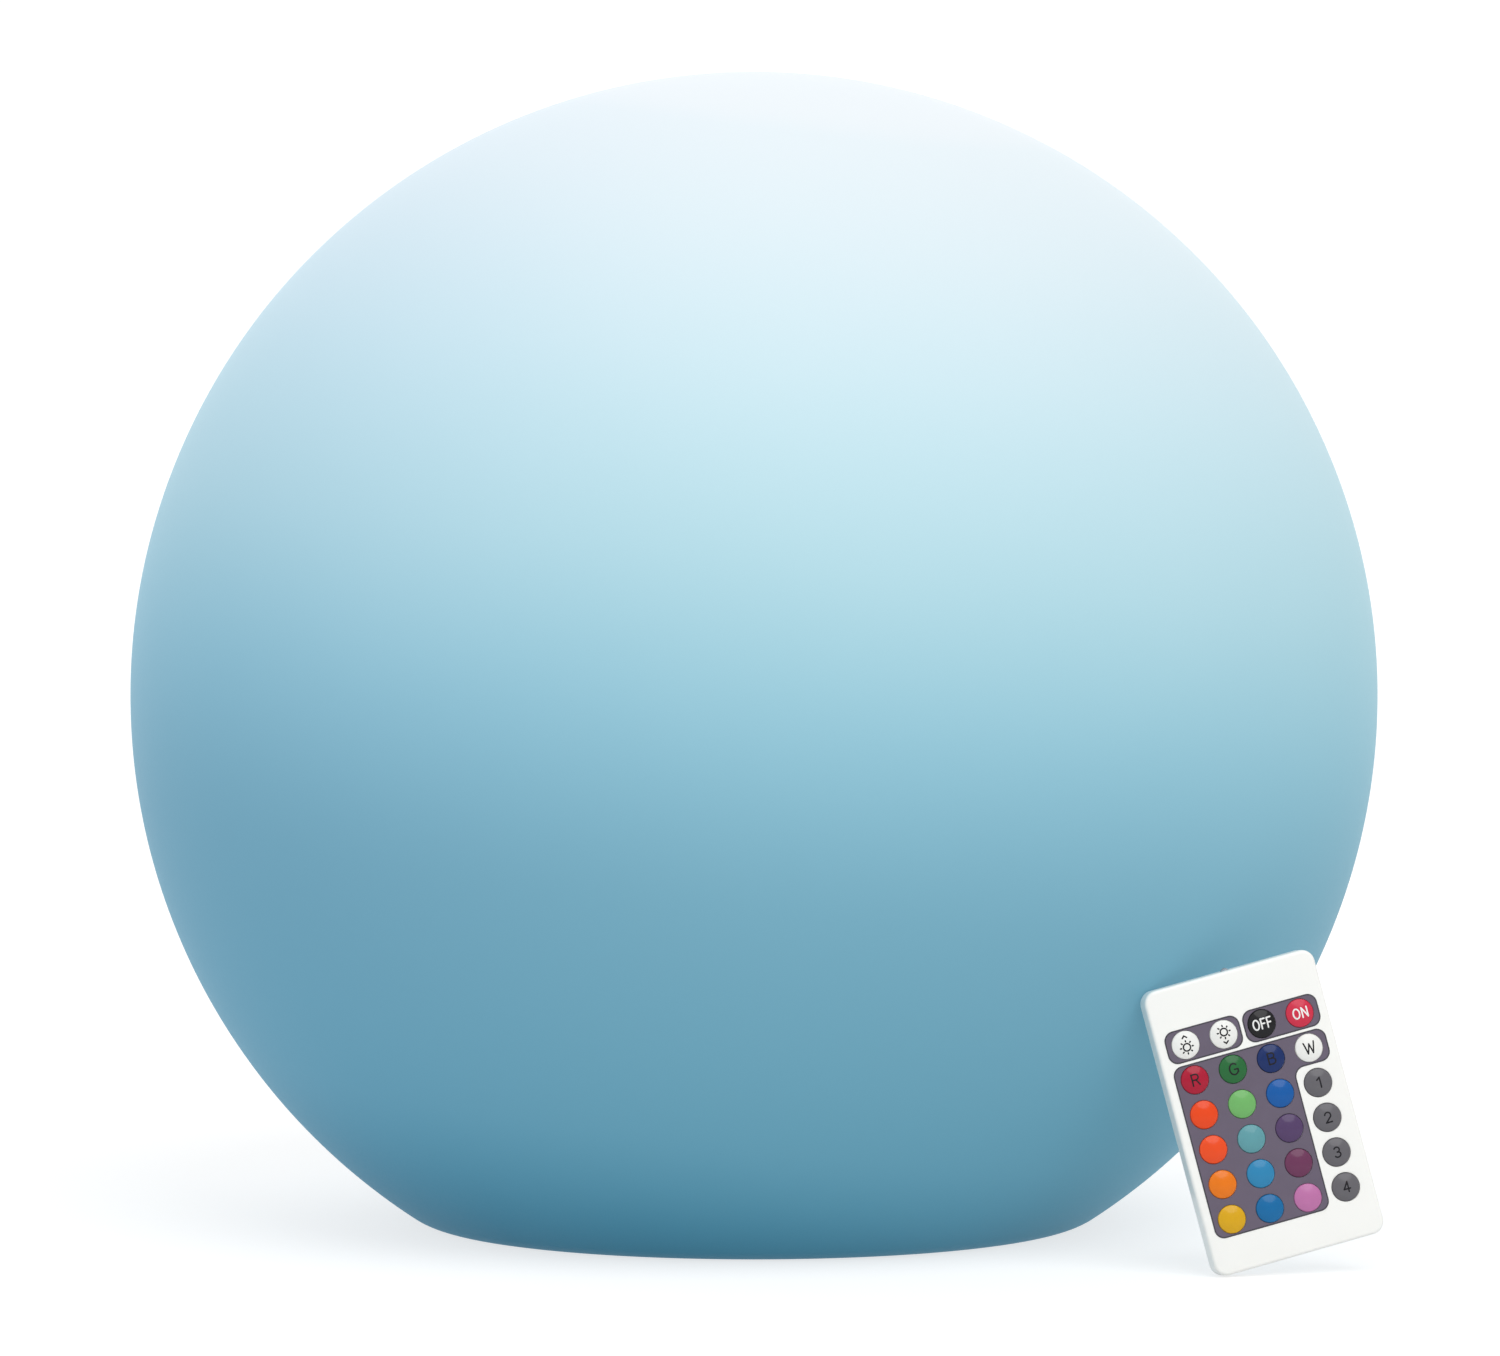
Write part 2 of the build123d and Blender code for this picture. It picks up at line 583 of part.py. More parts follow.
with BuildPart() as status_lens:
    with Locations((0, STATUS_Y)):
        post(STATUS_R, COVER_LOW, BOARD_LOW)
        post(STATUS_R + STATUS_FLANGE, FLANGE_LOW, FLANGE_LOW + STATUS_FLANGE_T)
save(status_lens, "status_lens")

# ---------------------------------------------------------------------------- lights and lens

with BuildPart() as led_board:
    post(LED_BOARD_R, DECK_TOP, LED_TOP)
save(led_board, "led_board")

with BuildPart() as color_leds:
    with Locations((0, 0, LED_TOP)):
        with PolarLocations(LED_RING_R, LED_COUNT):
            Box(LED_SIDE, LED_SIDE, LED_H, align=BASE)
            with Locations((0, 0, LED_H)):
                Cylinder(LED_CUP_R, LED_CUP_DEPTH, align=HUNG, mode=Mode.SUBTRACT)
save(color_leds, "color_leds")

with BuildPart() as ir_receiver:
    with Locations((0, 0, LED_TOP)):
        Box(RECEIVER_W, RECEIVER_D, RECEIVER_H, align=BASE)
    with Locations((0, 0, LED_TOP + RECEIVER_H)):
        Sphere(RECEIVER_DOME_R)
save(ir_receiver, "ir_receiver")

with BuildPart() as lens_dome:
    with BuildSketch(Plane.XZ):
        with BuildLine():
            Line((0, LENS_TOP), (0, LENS_TOP - LENS_T))
            TangentArc((0, LENS_TOP - LENS_T), (LENS_R - LENS_T, DECK_TOP), tangent=(1, 0))
            Polyline(
                (LENS_R - LENS_T, DECK_TOP),
                (LENS_FOOT_R, DECK_TOP),
                (LENS_FOOT_R, LENS_FOOT_TOP),
                (LENS_R, LENS_FOOT_TOP),
            )
            TangentArc((0, LENS_TOP), (LENS_R, LENS_FOOT_TOP), tangent=(1, 0))
        make_face()
    revolve(axis=Axis.Z)
    with PolarLocations(LENS_PITCH_R, LENS_SCREWS):
        post(PIN_HOLE_R, DECK_TOP, LENS_FOOT_TOP, Mode.SUBTRACT)
save(lens_dome, "lens_dome")

with BuildPart() as lens_seal:
    post(LENS_R + LENS_SEAL_W / 2, DECK_TOP - LENS_SEAL_T, DECK_TOP)
    post(LENS_R - LENS_SEAL_W / 2, DECK_TOP - LENS_SEAL_T, DECK_TOP, Mode.SUBTRACT)
save(lens_seal, "lens_seal")

small_screw = pan_screw(PIN_R, PIN_L, PIN_HEAD_R, PIN_HEAD_H)
with BuildPart() as small_screws:
    with Locations((0, 0, LENS_FOOT_TOP)):
        with PolarLocations(LENS_PITCH_R, LENS_SCREWS):
            add(small_screw, rotation=(180, 0, 0))
    with Locations((0, 0, BOARD_TOP)):
        with GridLocations(2 * STANDOFF_X, 2 * STANDOFF_Y, 2, 2):
            add(small_screw, rotation=(180, 0, 0))
    with Locations((0, 0, STRAP_EAR_TOP - STRAP_T)):
        with GridLocations(0, 2 * STRAP_POST_Y, 1, 2):
            add(small_screw)
save(small_screws, "small_screws")

# -------------------------------------------------------------------------------------- battery

with BuildPart() as battery_cells:
    with Locations((0, CELL_Y, CELL_Z), (0, -CELL_Y, CELL_Z)):
        Cylinder(CELL_R, CELL_L - 2 * CELL_TIP_L, rotation=(0, 90, 0))
        Cylinder(CELL_TIP_R, CELL_L, rotation=(0, 90, 0))
save(battery_cells, "battery_cells")

with BuildPart() as battery_pad:
    with Locations((0, 0, DECK_LOW)):
        Box(CELL_L - 2 * PAD_IN, 4 * CELL_R, PAD_T, align=HUNG)
save(battery_pad, "battery_pad")

with BuildPart() as battery_strap:
    with BuildSketch(Plane.YZ) as strap_section:
        with Locations((0, STRAP_LOW)):
            Rectangle(2 * STRAP_OUT_Y, STRAP_EAR_TOP - STRAP_LOW, align=(Align.CENTER, Align.MIN))
        fillet(strap_section.vertices().group_by(Axis.Y)[0], CELL_R - STRAP_T)
        with Locations((0, STRAP_EAR_TOP)):
            Rectangle(2 * (STRAP_OUT_Y + STRAP_EAR), STRAP_T, align=(Align.CENTER, Align.MAX))
        with BuildSketch(Plane.YZ, mode=Mode.PRIVATE) as strap_inside:
            with Locations((0, STRAP_LOW + STRAP_T)):
                Rectangle(2 * STRAP_IN_Y, STRAP_EAR_TOP - STRAP_LOW, align=(Align.CENTER, Align.MIN))
            fillet(strap_inside.vertices().group_by(Axis.Y)[0], CELL_R - 2 * STRAP_T)
        add(strap_inside.sketch_local, mode=Mode.SUBTRACT)
    extrude(amount=STRAP_W / 2, both=True)
    with Locations((0, STRAP_POST_Y), (0, -STRAP_POST_Y)):
        post(PIN_HOLE_R, STRAP_EAR_TOP - STRAP_T, STRAP_EAR_TOP, Mode.SUBTRACT)
save(battery_strap, "battery_strap")

with BuildPart() as lamp_leads:
    with Locations((LEAD_X, LEAD_Y, BOARD_TOP)):
        Box(LEAD_PLUG_W, LEAD_PLUG_T, LEAD_PLUG_H, align=BASE)
        Box(LEAD_W, LEAD_T, DECK_TOP - BOARD_TOP, align=BASE)
save(lamp_leads, "lamp_leads")

# --------------------------------------------------------------------- remote: where it stands

# Its face looks along FACE_OUT, and ACROSS and ALONG are its own right and up. Its lowest rounded
# corner touches the ground, and its back's rounded edge lies LEAN_GAP from the ball.
yaw, pitch, roll = (radians(angle) for angle in (REMOTE_YAW, REMOTE_PITCH, REMOTE_ROLL))
FACE_OUT = Vector(sin(yaw) * cos(pitch), -cos(yaw) * cos(pitch), sin(pitch))
level = Vector(cos(yaw), sin(yaw), 0)
rise = FACE_OUT.cross(level)
ACROSS = level * cos(roll) + rise * sin(roll)
ALONG = FACE_OUT.cross(ACROSS)

REMOTE_X = BALL_R - REMOTE_IN
CORNER_X = REMOTE_W / 2 - REMOTE_CORNER_R
CORNER_Y = REMOTE_L / 2 - REMOTE_CORNER_R
CORNER_ARM = REMOTE_CORNER_R - REMOTE_EDGE_R
BACK_DEPTH = REMOTE_T - REMOTE_EDGE_R
low_corner = -ACROSS * CORNER_X - ALONG * CORNER_Y - FACE_OUT * BACK_DEPTH
REMOTE_Z = REMOTE_EDGE_R + CORNER_ARM * sqrt(1 - FACE_OUT.Z**2) - low_corner.Z


def gap_to_ball(y):
    """Distance from the ball to the remote's rounded back edge, with the middle of its face at y."""
    arm = Vector(0, 0, BALL_Z) - Vector(REMOTE_X, y, REMOTE_Z)
    across = max(abs(arm.dot(ACROSS)) - CORNER_X, 0)
    along = max(abs(arm.dot(ALONG)) - CORNER_Y, 0)
    beside = max(sqrt(across**2 + along**2) - CORNER_ARM, 0)
    behind = -arm.dot(FACE_OUT) - BACK_DEPTH
    return sqrt(beside**2 + behind**2) - REMOTE_EDGE_R - BALL_R


# Halving the way between a remote inside the ball and one well in front of it finds where it leans.
inside, in_front = 0.0, -BALL_D
while inside - in_front > 1e-6:
    REMOTE_Y = (inside + in_front) / 2
    if gap_to_ball(REMOTE_Y) > LEAN_GAP:
        in_front = REMOTE_Y
    else:
        inside = REMOTE_Y

face_middle = Vector(REMOTE_X, REMOTE_Y, REMOTE_Z)
BACK = Plane(face_middle - FACE_OUT * REMOTE_T, x_dir=ACROSS, z_dir=FACE_OUT)
OUTWARD = Axis(BACK.origin, FACE_OUT)

KEY_NAMES = (
    ("brighter", "dimmer", "off", "on"),
    ("red", "green", "blue", "white"),
    ("orange", "light_green", "royal_blue", "mode_1"),
    ("amber", "teal", "violet", "mode_2"),
    ("gold", "sky_blue", "magenta", "mode_3"),
    ("yellow", "azure", "pink", "mode_4"),
)
KEY_COLUMNS = len(KEY_NAMES[0])
KEY_ROWS = len(KEY_NAMES)
KEY_PITCH_X = (REMOTE_W - 2 * KEY_SIDE) / (KEY_COLUMNS - 1)
KEY_X =[(column - (KEY_COLUMNS - 1) / 2) * KEY_PITCH_X for column in range(KEY_COLUMNS)]
KEY_Y = [KEYPAD_Y + ((KEY_ROWS - 1) / 2 - row) * KEY_PITCH_Y for row in range(KEY_ROWS)]
KEY_PLACES = [(x, y) for y in KEY_Y for x in KEY_X]

with BuildSketch(BACK.offset(PLATE_LOW)) as key_holes:
    with Locations(*KEY_PLACES):
        Circle(KEY_R + KEY_GAP)

# Printed areas: one capsule round each half of the top row, and a panel round the colour keys.
# The panel has an arm round the last key of the second row, and leaves out the four mode keys.
AREA_HALF = KEY_R + KEY_GAP + AREA_RIM
AREA_RIGHT = KEY_X[-1] + AREA_MARGIN
PANEL_LEFT = KEY_X[0] - AREA_MARGIN
PANEL_RIGHT = KEY_X[-1] - AREA_MARGIN
PANEL_TOP = KEY_Y[1] + AREA_HALF
PANEL_LOW = KEY_Y[-1] - AREA_HALF

with BuildSketch(BACK.offset(REMOTE_T - INLAY_T)) as grey_areas:
    with Locations((PANEL_LEFT, PANEL_TOP)):
        Rectangle(PANEL_RIGHT - PANEL_LEFT, PANEL_TOP - PANEL_LOW, align=(Align.MIN, Align.MAX))
        Rectangle(AREA_RIGHT - PANEL_LEFT, 2 * AREA_HALF, align=(Align.MIN, Align.MAX))
    fillet(grey_areas.vertices(), AREA_CORNER_R)
    capsule_w = AREA_RIGHT - AREA_SLIT / 2
    for side in (-1, 1):
        with Locations((side * (AREA_SLIT + capsule_w) / 2, KEY_Y[0])):
            RectangleRounded(capsule_w, 2 * AREA_HALF, AREA_CORNER_R)


def case_outline(height, inset=0.0):
    """Rounded outline of the remote's case, at a height above its back."""
    with BuildSketch(BACK.offset(height)) as outline:
        RectangleRounded(REMOTE_W - 2 * inset, REMOTE_L - 2 * inset, REMOTE_CORNER_R - inset)
    return outline.sketch


# ------------------------------------------------------------------------------- remote: case

with BuildPart(BACK) as remote_front:
    extrude(case_outline(CASE_SPLIT), amount=REMOTE_T - CASE_SPLIT)
    fillet(remote_front.faces().sort_by(OUTWARD)[-1].edges(), REMOTE_EDGE_R)
    extrude(case_outline(CASE_SPLIT, CASE_T), amount=PLATE_LOW - CASE_SPLIT, mode=Mode.SUBTRACT)
    extrude(key_holes.sketch, amount=PLATE_T, mode=Mode.SUBTRACT)
    extrude(grey_areas.sketch, amount=INLAY_T, mode=Mode.SUBTRACT)
    with Locations((0, EMITTER_Y, EMITTER_Z)):
        Cylinder(EMITTER_R + CLEAR, EMITTER_L, rotation=(-90, 0, 0), align=BASE, mode=Mode.SUBTRACT)
save(remote_front, "remote_front")

with BuildPart(BACK) as remote_back:
    extrude(case_outline(0), amount=CASE_SPLIT)
    fillet(remote_back.faces().sort_by(OUTWARD)[0].edges(), REMOTE_EDGE_R)
    extrude(case_outline(CASE_FLOOR, CASE_T), amount=CASE_SPLIT - CASE_FLOOR, mode=Mode.SUBTRACT)
    # rails round the tray, then the bay between them and the grooves for the tray's lips
    with Locations((0, -REMOTE_L / 2 + CASE_T / 2, CASE_FLOOR / 2)):
        Box(
            TRAY_W + 2 * (TRAY_GAP + TRAY_RAIL),
            TRAY_L + TRAY_GAP + TRAY_RAIL - CASE_T / 2,
            CASE_SPLIT - CASE_FLOOR / 2,
            align=(Align.CENTER, Align.MIN, Align.MIN),
        )
    with Locations((0, -REMOTE_L / 2, 0)):
        Box(
            TRAY_W + 2 * TRAY_GAP,
            TRAY_L + TRAY_GAP,
            CASE_SPLIT,
            align=(Align.CENTER, Align.MIN, Align.MIN),
            mode=Mode.SUBTRACT,
        )
    with Locations((0, -REMOTE_L / 2, TRAY_LIP_Z - CLEAR)):
        Box(
            TRAY_W + 2 * (TRAY_LIP + TRAY_GAP),
            TRAY_L + TRAY_GAP,
            TRAY_LIP_T + 2 * CLEAR,
            align=(Align.CENTER, Align.MIN, Align.MIN),
            mode=Mode.SUBTRACT,
        )
    # posts under the card
    with Locations((0, CHIP_Y + CARD_POST_PITCH / 2)):
        with GridLocations(REMOTE_W - 2 * CARD_POST_IN, CARD_POST_PITCH, 2, 2):
            post(CARD_POST_R, CASE_FLOOR / 2, CASE_SPLIT)
    with Locations((0, EMITTER_Y, EMITTER_Z)):
        Cylinder(EMITTER_R + CLEAR, EMITTER_L, rotation=(-90, 0, 0), align=BASE, mode=Mode.SUBTRACT)
save(remote_back, "remote_back")

with BuildPart() as remote_overlay:
    extrude(grey_areas.sketch, amount=INLAY_T)
    extrude(key_holes.sketch, amount=PLATE_T, mode=Mode.SUBTRACT)
save(remote_overlay, "remote_overlay")

# ----------------------------------------------------------------------------- remote: inside

with BuildPart(BACK) as remote_board:
    extrude(case_outline(CASE_SPLIT, CASE_T + CARD_GAP), amount=CARD_T)
    with Locations((0, EMITTER_Y - EMITTER_LEG_L, CASE_SPLIT)):
        Box(
            2 * (EMITTER_R + EMITTER_ROOM),
            EMITTER_L,
            CARD_T,
            align=(Align.CENTER, Align.MIN, Align.MIN),
            mode=Mode.SUBTRACT,
        )
save(remote_board, "remote_board")

with BuildPart(BACK) as remote_chip:
    with Locations((0, CHIP_Y)):
        post(CHIP_R, CASE_SPLIT - CHIP_T, CASE_SPLIT)
    fillet(remote_chip.edges().sort_by(OUTWARD)[0], CHIP_EDGE_R)
save(remote_chip, "remote_chip")

with BuildPart(BACK) as ir_emitter:
    with Locations((0, EMITTER_Y, EMITTER_Z)):
        Cylinder(EMITTER_R, EMITTER_L - EMITTER_R, rotation=(-90, 0, 0), align=BASE)
        with Locations((0, EMITTER_L - EMITTER_R, 0)):
            Sphere(EMITTER_R)
    for side in (-1, 1):
        with Locations((side * EMITTER_R / 2, EMITTER_Y - EMITTER_LEG_L, EMITTER_Z)):
            Box(EMITTER_LEG, EMITTER_LEG_L, EMITTER_LEG, align=(Align.CENTER, Align.MIN, Align.CENTER))
save(ir_emitter, "ir_emitter")

with BuildPart(BACK) as key_mat:
    with BuildSketch(BACK.offset(MAT_LOW)):
        with Locations((0, KEYPAD_Y)):
            RectangleRounded(
                KEY_X[-1] - KEY_X[0] + 2 * MAT_MARGIN,
                KEY_Y[0] - KEY_Y[-1] + 2 * MAT_MARGIN,
                REMOTE_CORNER_R / 2,
            )
    extrude(amount=MAT_T)
    with Locations(*KEY_PLACES):
        with Locations((0, 0, MAT_TOP)):
            Cone(MAT_DOME_R, MAT_DOME_R - MAT_DOME_H, MAT_DOME_H, align=BASE)
save(key_mat, "key_mat")

with BuildPart(BACK) as battery_tray:
    with Locations((0, -REMOTE_L / 2, 0)):
        Box(TRAY_W, TRAY_L, TRAY_T, align=(Align.CENTER, Align.MIN, Align.MIN))
    end_face = battery_tray.faces().sort_by(Axis(BACK.origin, ALONG))[0]
    fillet(end_face.edges().sort_by(OUTWARD)[0], REMOTE_EDGE_R)
    with Locations((0, -REMOTE_L / 2 + CASE_T, TRAY_LIP_Z)):
        Box(
            TRAY_W + 2 * TRAY_LIP,
            TRAY_L - CASE_T,
            TRAY_LIP_T,
            align=(Align.CENTER, Align.MIN, Align.MIN),
        )
    with Locations((0, COIN_Y)):
        post(COIN_R + COIN_GAP, TRAY_FLOOR, TRAY_T, Mode.SUBTRACT)
        post(COIN_HOLE_R, 0, TRAY_FLOOR, Mode.SUBTRACT)
save(battery_tray, "battery_tray")

with BuildPart(BACK) as coin_cell:
    with Locations((0, COIN_Y)):
        post(COIN_R, TRAY_FLOOR, TRAY_FLOOR + COIN_T)
    fillet(coin_cell.edges().sort_by(OUTWARD)[0], COIN_EDGE_R)
save(coin_cell, "coin_cell")

with BuildPart(BACK) as cell_contacts:
    with Locations((CONTACT_X, COIN_Y, CASE_SPLIT), (-CONTACT_X, COIN_Y, CASE_SPLIT)):
        Box(CONTACT_W, CONTACT_L, CONTACT_T, align=HUNG)
save(cell_contacts, "cell_contacts")

# ------------------------------------------------------------------------------- remote: keys

# Each key is a domed cap over a flange that is wider than its hole, so it can't fall out.
for names, y in zip(KEY_NAMES, KEY_Y):
    for name, x in zip(names, KEY_X):
        middle = BACK.from_local_coords(Vector(x, y, 0))
        with BuildPart() as key:
            with BuildSketch(Plane(middle, x_dir=ACROSS, z_dir=-ALONG)):
                with BuildLine():
                    Polyline(
                        (0, KEY_RIM_Z + KEY_CROWN),
                        (0, KEY_LOW),
                        (KEY_R + KEY_FLANGE, KEY_LOW),
                        (KEY_R + KEY_FLANGE, KEY_FLANGE_TOP),
                        (KEY_R, KEY_FLANGE_TOP),
                        (KEY_R, KEY_RIM_Z),
                    )
                    TangentArc((0, KEY_RIM_Z + KEY_CROWN), (KEY_R, KEY_RIM_Z), tangent=(1, 0))
                make_face()
            revolve(axis=Axis(middle, FACE_OUT))
        save(key, "key_" + name)
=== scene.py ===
"""Garden globe light: a moulded polyethylene ball lit from inside, with its card remote."""

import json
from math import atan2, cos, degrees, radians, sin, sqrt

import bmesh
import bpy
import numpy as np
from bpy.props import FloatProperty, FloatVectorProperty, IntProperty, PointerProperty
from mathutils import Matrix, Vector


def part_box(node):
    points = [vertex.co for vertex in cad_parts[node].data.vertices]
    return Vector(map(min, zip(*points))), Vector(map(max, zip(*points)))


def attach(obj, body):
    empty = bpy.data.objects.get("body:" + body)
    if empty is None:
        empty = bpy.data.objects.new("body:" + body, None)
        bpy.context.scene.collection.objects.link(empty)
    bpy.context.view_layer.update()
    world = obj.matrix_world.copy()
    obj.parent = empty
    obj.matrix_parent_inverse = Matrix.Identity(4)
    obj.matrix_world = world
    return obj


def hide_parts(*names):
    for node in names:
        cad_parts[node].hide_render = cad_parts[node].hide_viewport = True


bl_info = {
    "name": "Garden globe light",
    "version": (1, 0, 0),
    "blender": (4, 5, 0),
    "location": "View3D > Sidebar > Globe light",
    "description": "Dresses the ball, the lamp module and the remote of a garden globe light",
    "category": "Object",
}

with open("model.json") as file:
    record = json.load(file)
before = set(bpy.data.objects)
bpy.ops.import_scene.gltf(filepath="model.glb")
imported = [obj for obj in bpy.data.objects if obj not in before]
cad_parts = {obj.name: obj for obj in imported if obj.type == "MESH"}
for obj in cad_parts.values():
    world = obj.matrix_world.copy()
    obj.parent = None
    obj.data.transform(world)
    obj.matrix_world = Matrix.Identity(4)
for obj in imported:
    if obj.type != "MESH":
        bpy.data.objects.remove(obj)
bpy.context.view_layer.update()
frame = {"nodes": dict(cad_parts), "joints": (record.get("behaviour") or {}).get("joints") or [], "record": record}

MM = 0.001


def linear(code):
    """Linear red, green and blue of an sRGB hex colour."""
    parts = np.array([int(code[place : place + 2], 16) for place in (0, 2, 4)]) / 255
    return tuple(np.where(parts <= 0.04045, parts / 12.92, ((parts + 0.055) / 1.055) ** 2.4))


# ---------------------------------------------------------------- where the frame puts things

JOINTS = {joint["name"]: joint for joint in frame["joints"]}
SLOTS = {part["node"]: part["material_slot"] for part in frame["record"]["subparts"]}
OUT = np.array(JOINTS["remote_lift"]["axis"])  # out of the remote's face
ALONG = -np.array(JOINTS["battery_tray_slide"]["axis"])  # up its length
REMOTE_AXES = np.array([np.cross(ALONG, OUT), ALONG, OUT])


def remote_span(node):
    """Lowest and highest reach of a node along the remote's own axes, in mm."""
    mesh = frame["nodes"][node].data
    points = np.empty(len(mesh.vertices) * 3, np.float32)
    mesh.vertices.foreach_get("co", points)
    reach = points.reshape(-1, 3) @ REMOTE_AXES.T / MM
    return np.array([reach.min(0), reach.max(0)])


FRONT_SPAN = remote_span("remote_front")
# The middle of the remote's back, which its pieces are measured from, and its half sizes.
REMOTE_ORIGIN = np.append(FRONT_SPAN.mean(0)[:2], remote_span("remote_back")[0, 2])
REMOTE_HALF = (FRONT_SPAN[1] - REMOTE_ORIGIN)[:2]
FACE = (FRONT_SPAN[1] - REMOTE_ORIGIN)[2]  # height of its face above its back
KEYS = [node for node in frame["nodes"] if node.startswith("key_") and node != "key_mat"]
KEY_SPANS = {node: remote_span(node) - REMOTE_ORIGIN for node in KEYS}
GLOBE_LOW, GLOBE_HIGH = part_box("globe_shell")


def on_remote(points):
    """Points in mm on the remote's own axes, from the middle of its back, put where it stands."""
    return (points + REMOTE_ORIGIN) @ REMOTE_AXES * MM


# ------------------------------------------------------------------------------------ settings


def size(label, note, millimetres):
    """A length setting, given in mm and held in metres."""
    return FloatProperty(name=label, description=note, default=millimetres * MM, unit="LENGTH")


def tint(label, note, code):
    """A colour setting, given as sRGB hex."""
    return FloatVectorProperty(
        name=label, description=note, default=linear(code), subtype="COLOR", min=0, max=1
    )


class BallSettings(bpy.types.PropertyGroup):
    """Sizes, colours and glow of the moulded ball."""

    diameter: size("Diameter", "Outside of the ball", (GLOBE_HIGH.x - GLOBE_LOW.x) / MM)
    wall: size("Wall", "Thickness of the moulding", 3.2)
    foot_edge: size("Foot edge", "Rounding between the ball and its flat foot", 20)
    well_radius: size("Well radius", "Recess in the foot for the lamp module", 70.5)
    well_depth: size("Well depth", "Ground to the ledge that the module bolts to", 14)
    well_edge: size("Well edge", "Rounding at the mouth of the well", 3)
    neck_radius: size("Neck radius", "Opening that the module passes through", 47)
    segments: IntProperty(name="Segments", description="Faces round the ball", default=192)
    glow: FloatProperty(name="Glow", description="How strongly the wall shines", default=0.4)
    # Painted light and shade: the wall's colours below run from near white at the crown to deep blue-green at the
    # foot, and shade tints the side away from the light violet.
    crown: tint("Crown", "Wall at the top, nearly white", "cbd1d5")
    shoulder: tint("Shoulder", "Wall between the crown and the upper wall", "b2cad2")
    upper: tint("Upper wall", "Wall above the middle", "9dbfc8")
    middle: tint("Middle", "Wall at the widest part", "7fadbd")
    waist: tint("Waist", "Wall just below the middle", "6594a7")
    lower: tint("Lower wall", "Wall between the waist and the foot", "6499ad")
    foot: tint("Foot", "Wall at the foot, the deepest blue-green", "33738c")
    shade: tint("Shade", "Cool violet cast on the side away from the light", "b4c6ee")


class RemoteSettings(bpy.types.PropertyGroup):
    """Sizes and colours of the card remote."""

    corner: size("Corner", "Corner radius of the case", 4)
    edge: size("Edge", "Rounding of the case's edges", 1)
    wall: size("Wall", "Thickness of the case's side walls", 1.4)
    plate: size("Plate", "Thickness of the face", 1.1)
    film: size("Film", "How far the printed film stands proud of the face", 0.08)
    keyline: size("Keyline", "Width of the dark line round the printed areas", 0.4)
    split: size("Split", "Height of the joint between the two shells", 3.2)
    hole: size("Hole", "Radius of the hole round each key", 4.35)
    key_radius: size("Key radius", "Cap of each key", 4.2)
    flange_radius: size("Flange radius", "Flange that keeps a key in", 4.9)
    flange: size("Flange", "Thickness of a key's flange", 0.5)
    crown: size("Crown", "Height of a key's dome above its rim", 0.92)
    stroke: size("Stroke", "Width of the printed lines on the keys", 0.52)
    case: tint("Case", "Moulded white of the case", "fdfdf9")
    printed: tint("Print", "Violet grey printed round the keys", "63596b")
    outline: tint("Outline", "Dark line round the printed areas", "35333c")
    dark: tint("Dark ink", "Dark signs on the keys", "1a191e")
    light: tint("Light ink", "Light signs", "f4f4f2")


class StageSettings(bpy.types.PropertyGroup):
    """Camera and lamps."""

    distance: size("Distance", "Camera to the middle of the ball", 4000)
    elevation: FloatProperty(
        name="Elevation", description="Camera height", default=radians(4.5), subtype="ANGLE"
    )
    lens: FloatProperty(name="Lens", description="Focal length", default=314.8, unit="CAMERA")
    key: FloatProperty(name="Key lamp", description="Soft lamp at the upper right", default=1.4)
    fill: FloatProperty(name="Fill lamp", description="Softer lamp at the left", default=0.5)
    back: FloatProperty(name="Back lamp", description="Soft lamp behind the ball", default=0.8)
    room: FloatProperty(name="Room light", description="Even light from all round", default=0.55)


# ------------------------------------------------------------------------------------- surfaces


def arc(middle, radius, start, end, count):
    """Points on a circle between two angles in degrees, both ends included."""
    turn = np.radians(np.linspace(start, end, count))
    return np.stack([middle[0] + radius * np.cos(turn), middle[1] + radius * np.sin(turn)], 1)


def turned(profile, segments):
    """A profile of (radius, height) turned about an upright axis: x is the radius times the cosine
    of the angle, y the radius times its sine, and z the height."""
    turn = np.linspace(0, 2 * np.pi, segments, endpoint=False)
    radius, height = np.asarray(profile, float).T
    across, deep = np.outer(radius, np.cos(turn)), np.outer(radius, np.sin(turn))
    return np.stack([across, deep, np.broadcast_to(height[:, None], across.shape)], -1)


def lifted(loops, heights):
    """Loops of (x, y) stacked into a grid, one height for each."""
    flat = np.stack(loops)
    height = np.broadcast_to(np.asarray(heights, float)[:, None, None], (*flat.shape[:2], 1))
    return np.concatenate([flat, height], -1)


def joined(grids):
    """Points and quads of grids, each closed round its columns. A quad joins four neighbours."""
    places, quads, start = [], [], 0
    for points in grids:
        rows, columns = points.shape[:2]
        index = np.arange(start, start + rows * columns).reshape(rows, columns)
        index = np.hstack([index, index[:, :1]])
        start += rows * columns
        corners = (index[:-1, :-1], index[:-1, 1:], index[1:, 1:], index[1:, :-1])
        quads.append(np.stack(corners, -1).reshape(-1, 4))
        places.append(points.reshape(-1, 3))
    return np.concatenate(places), np.concatenate(quads)


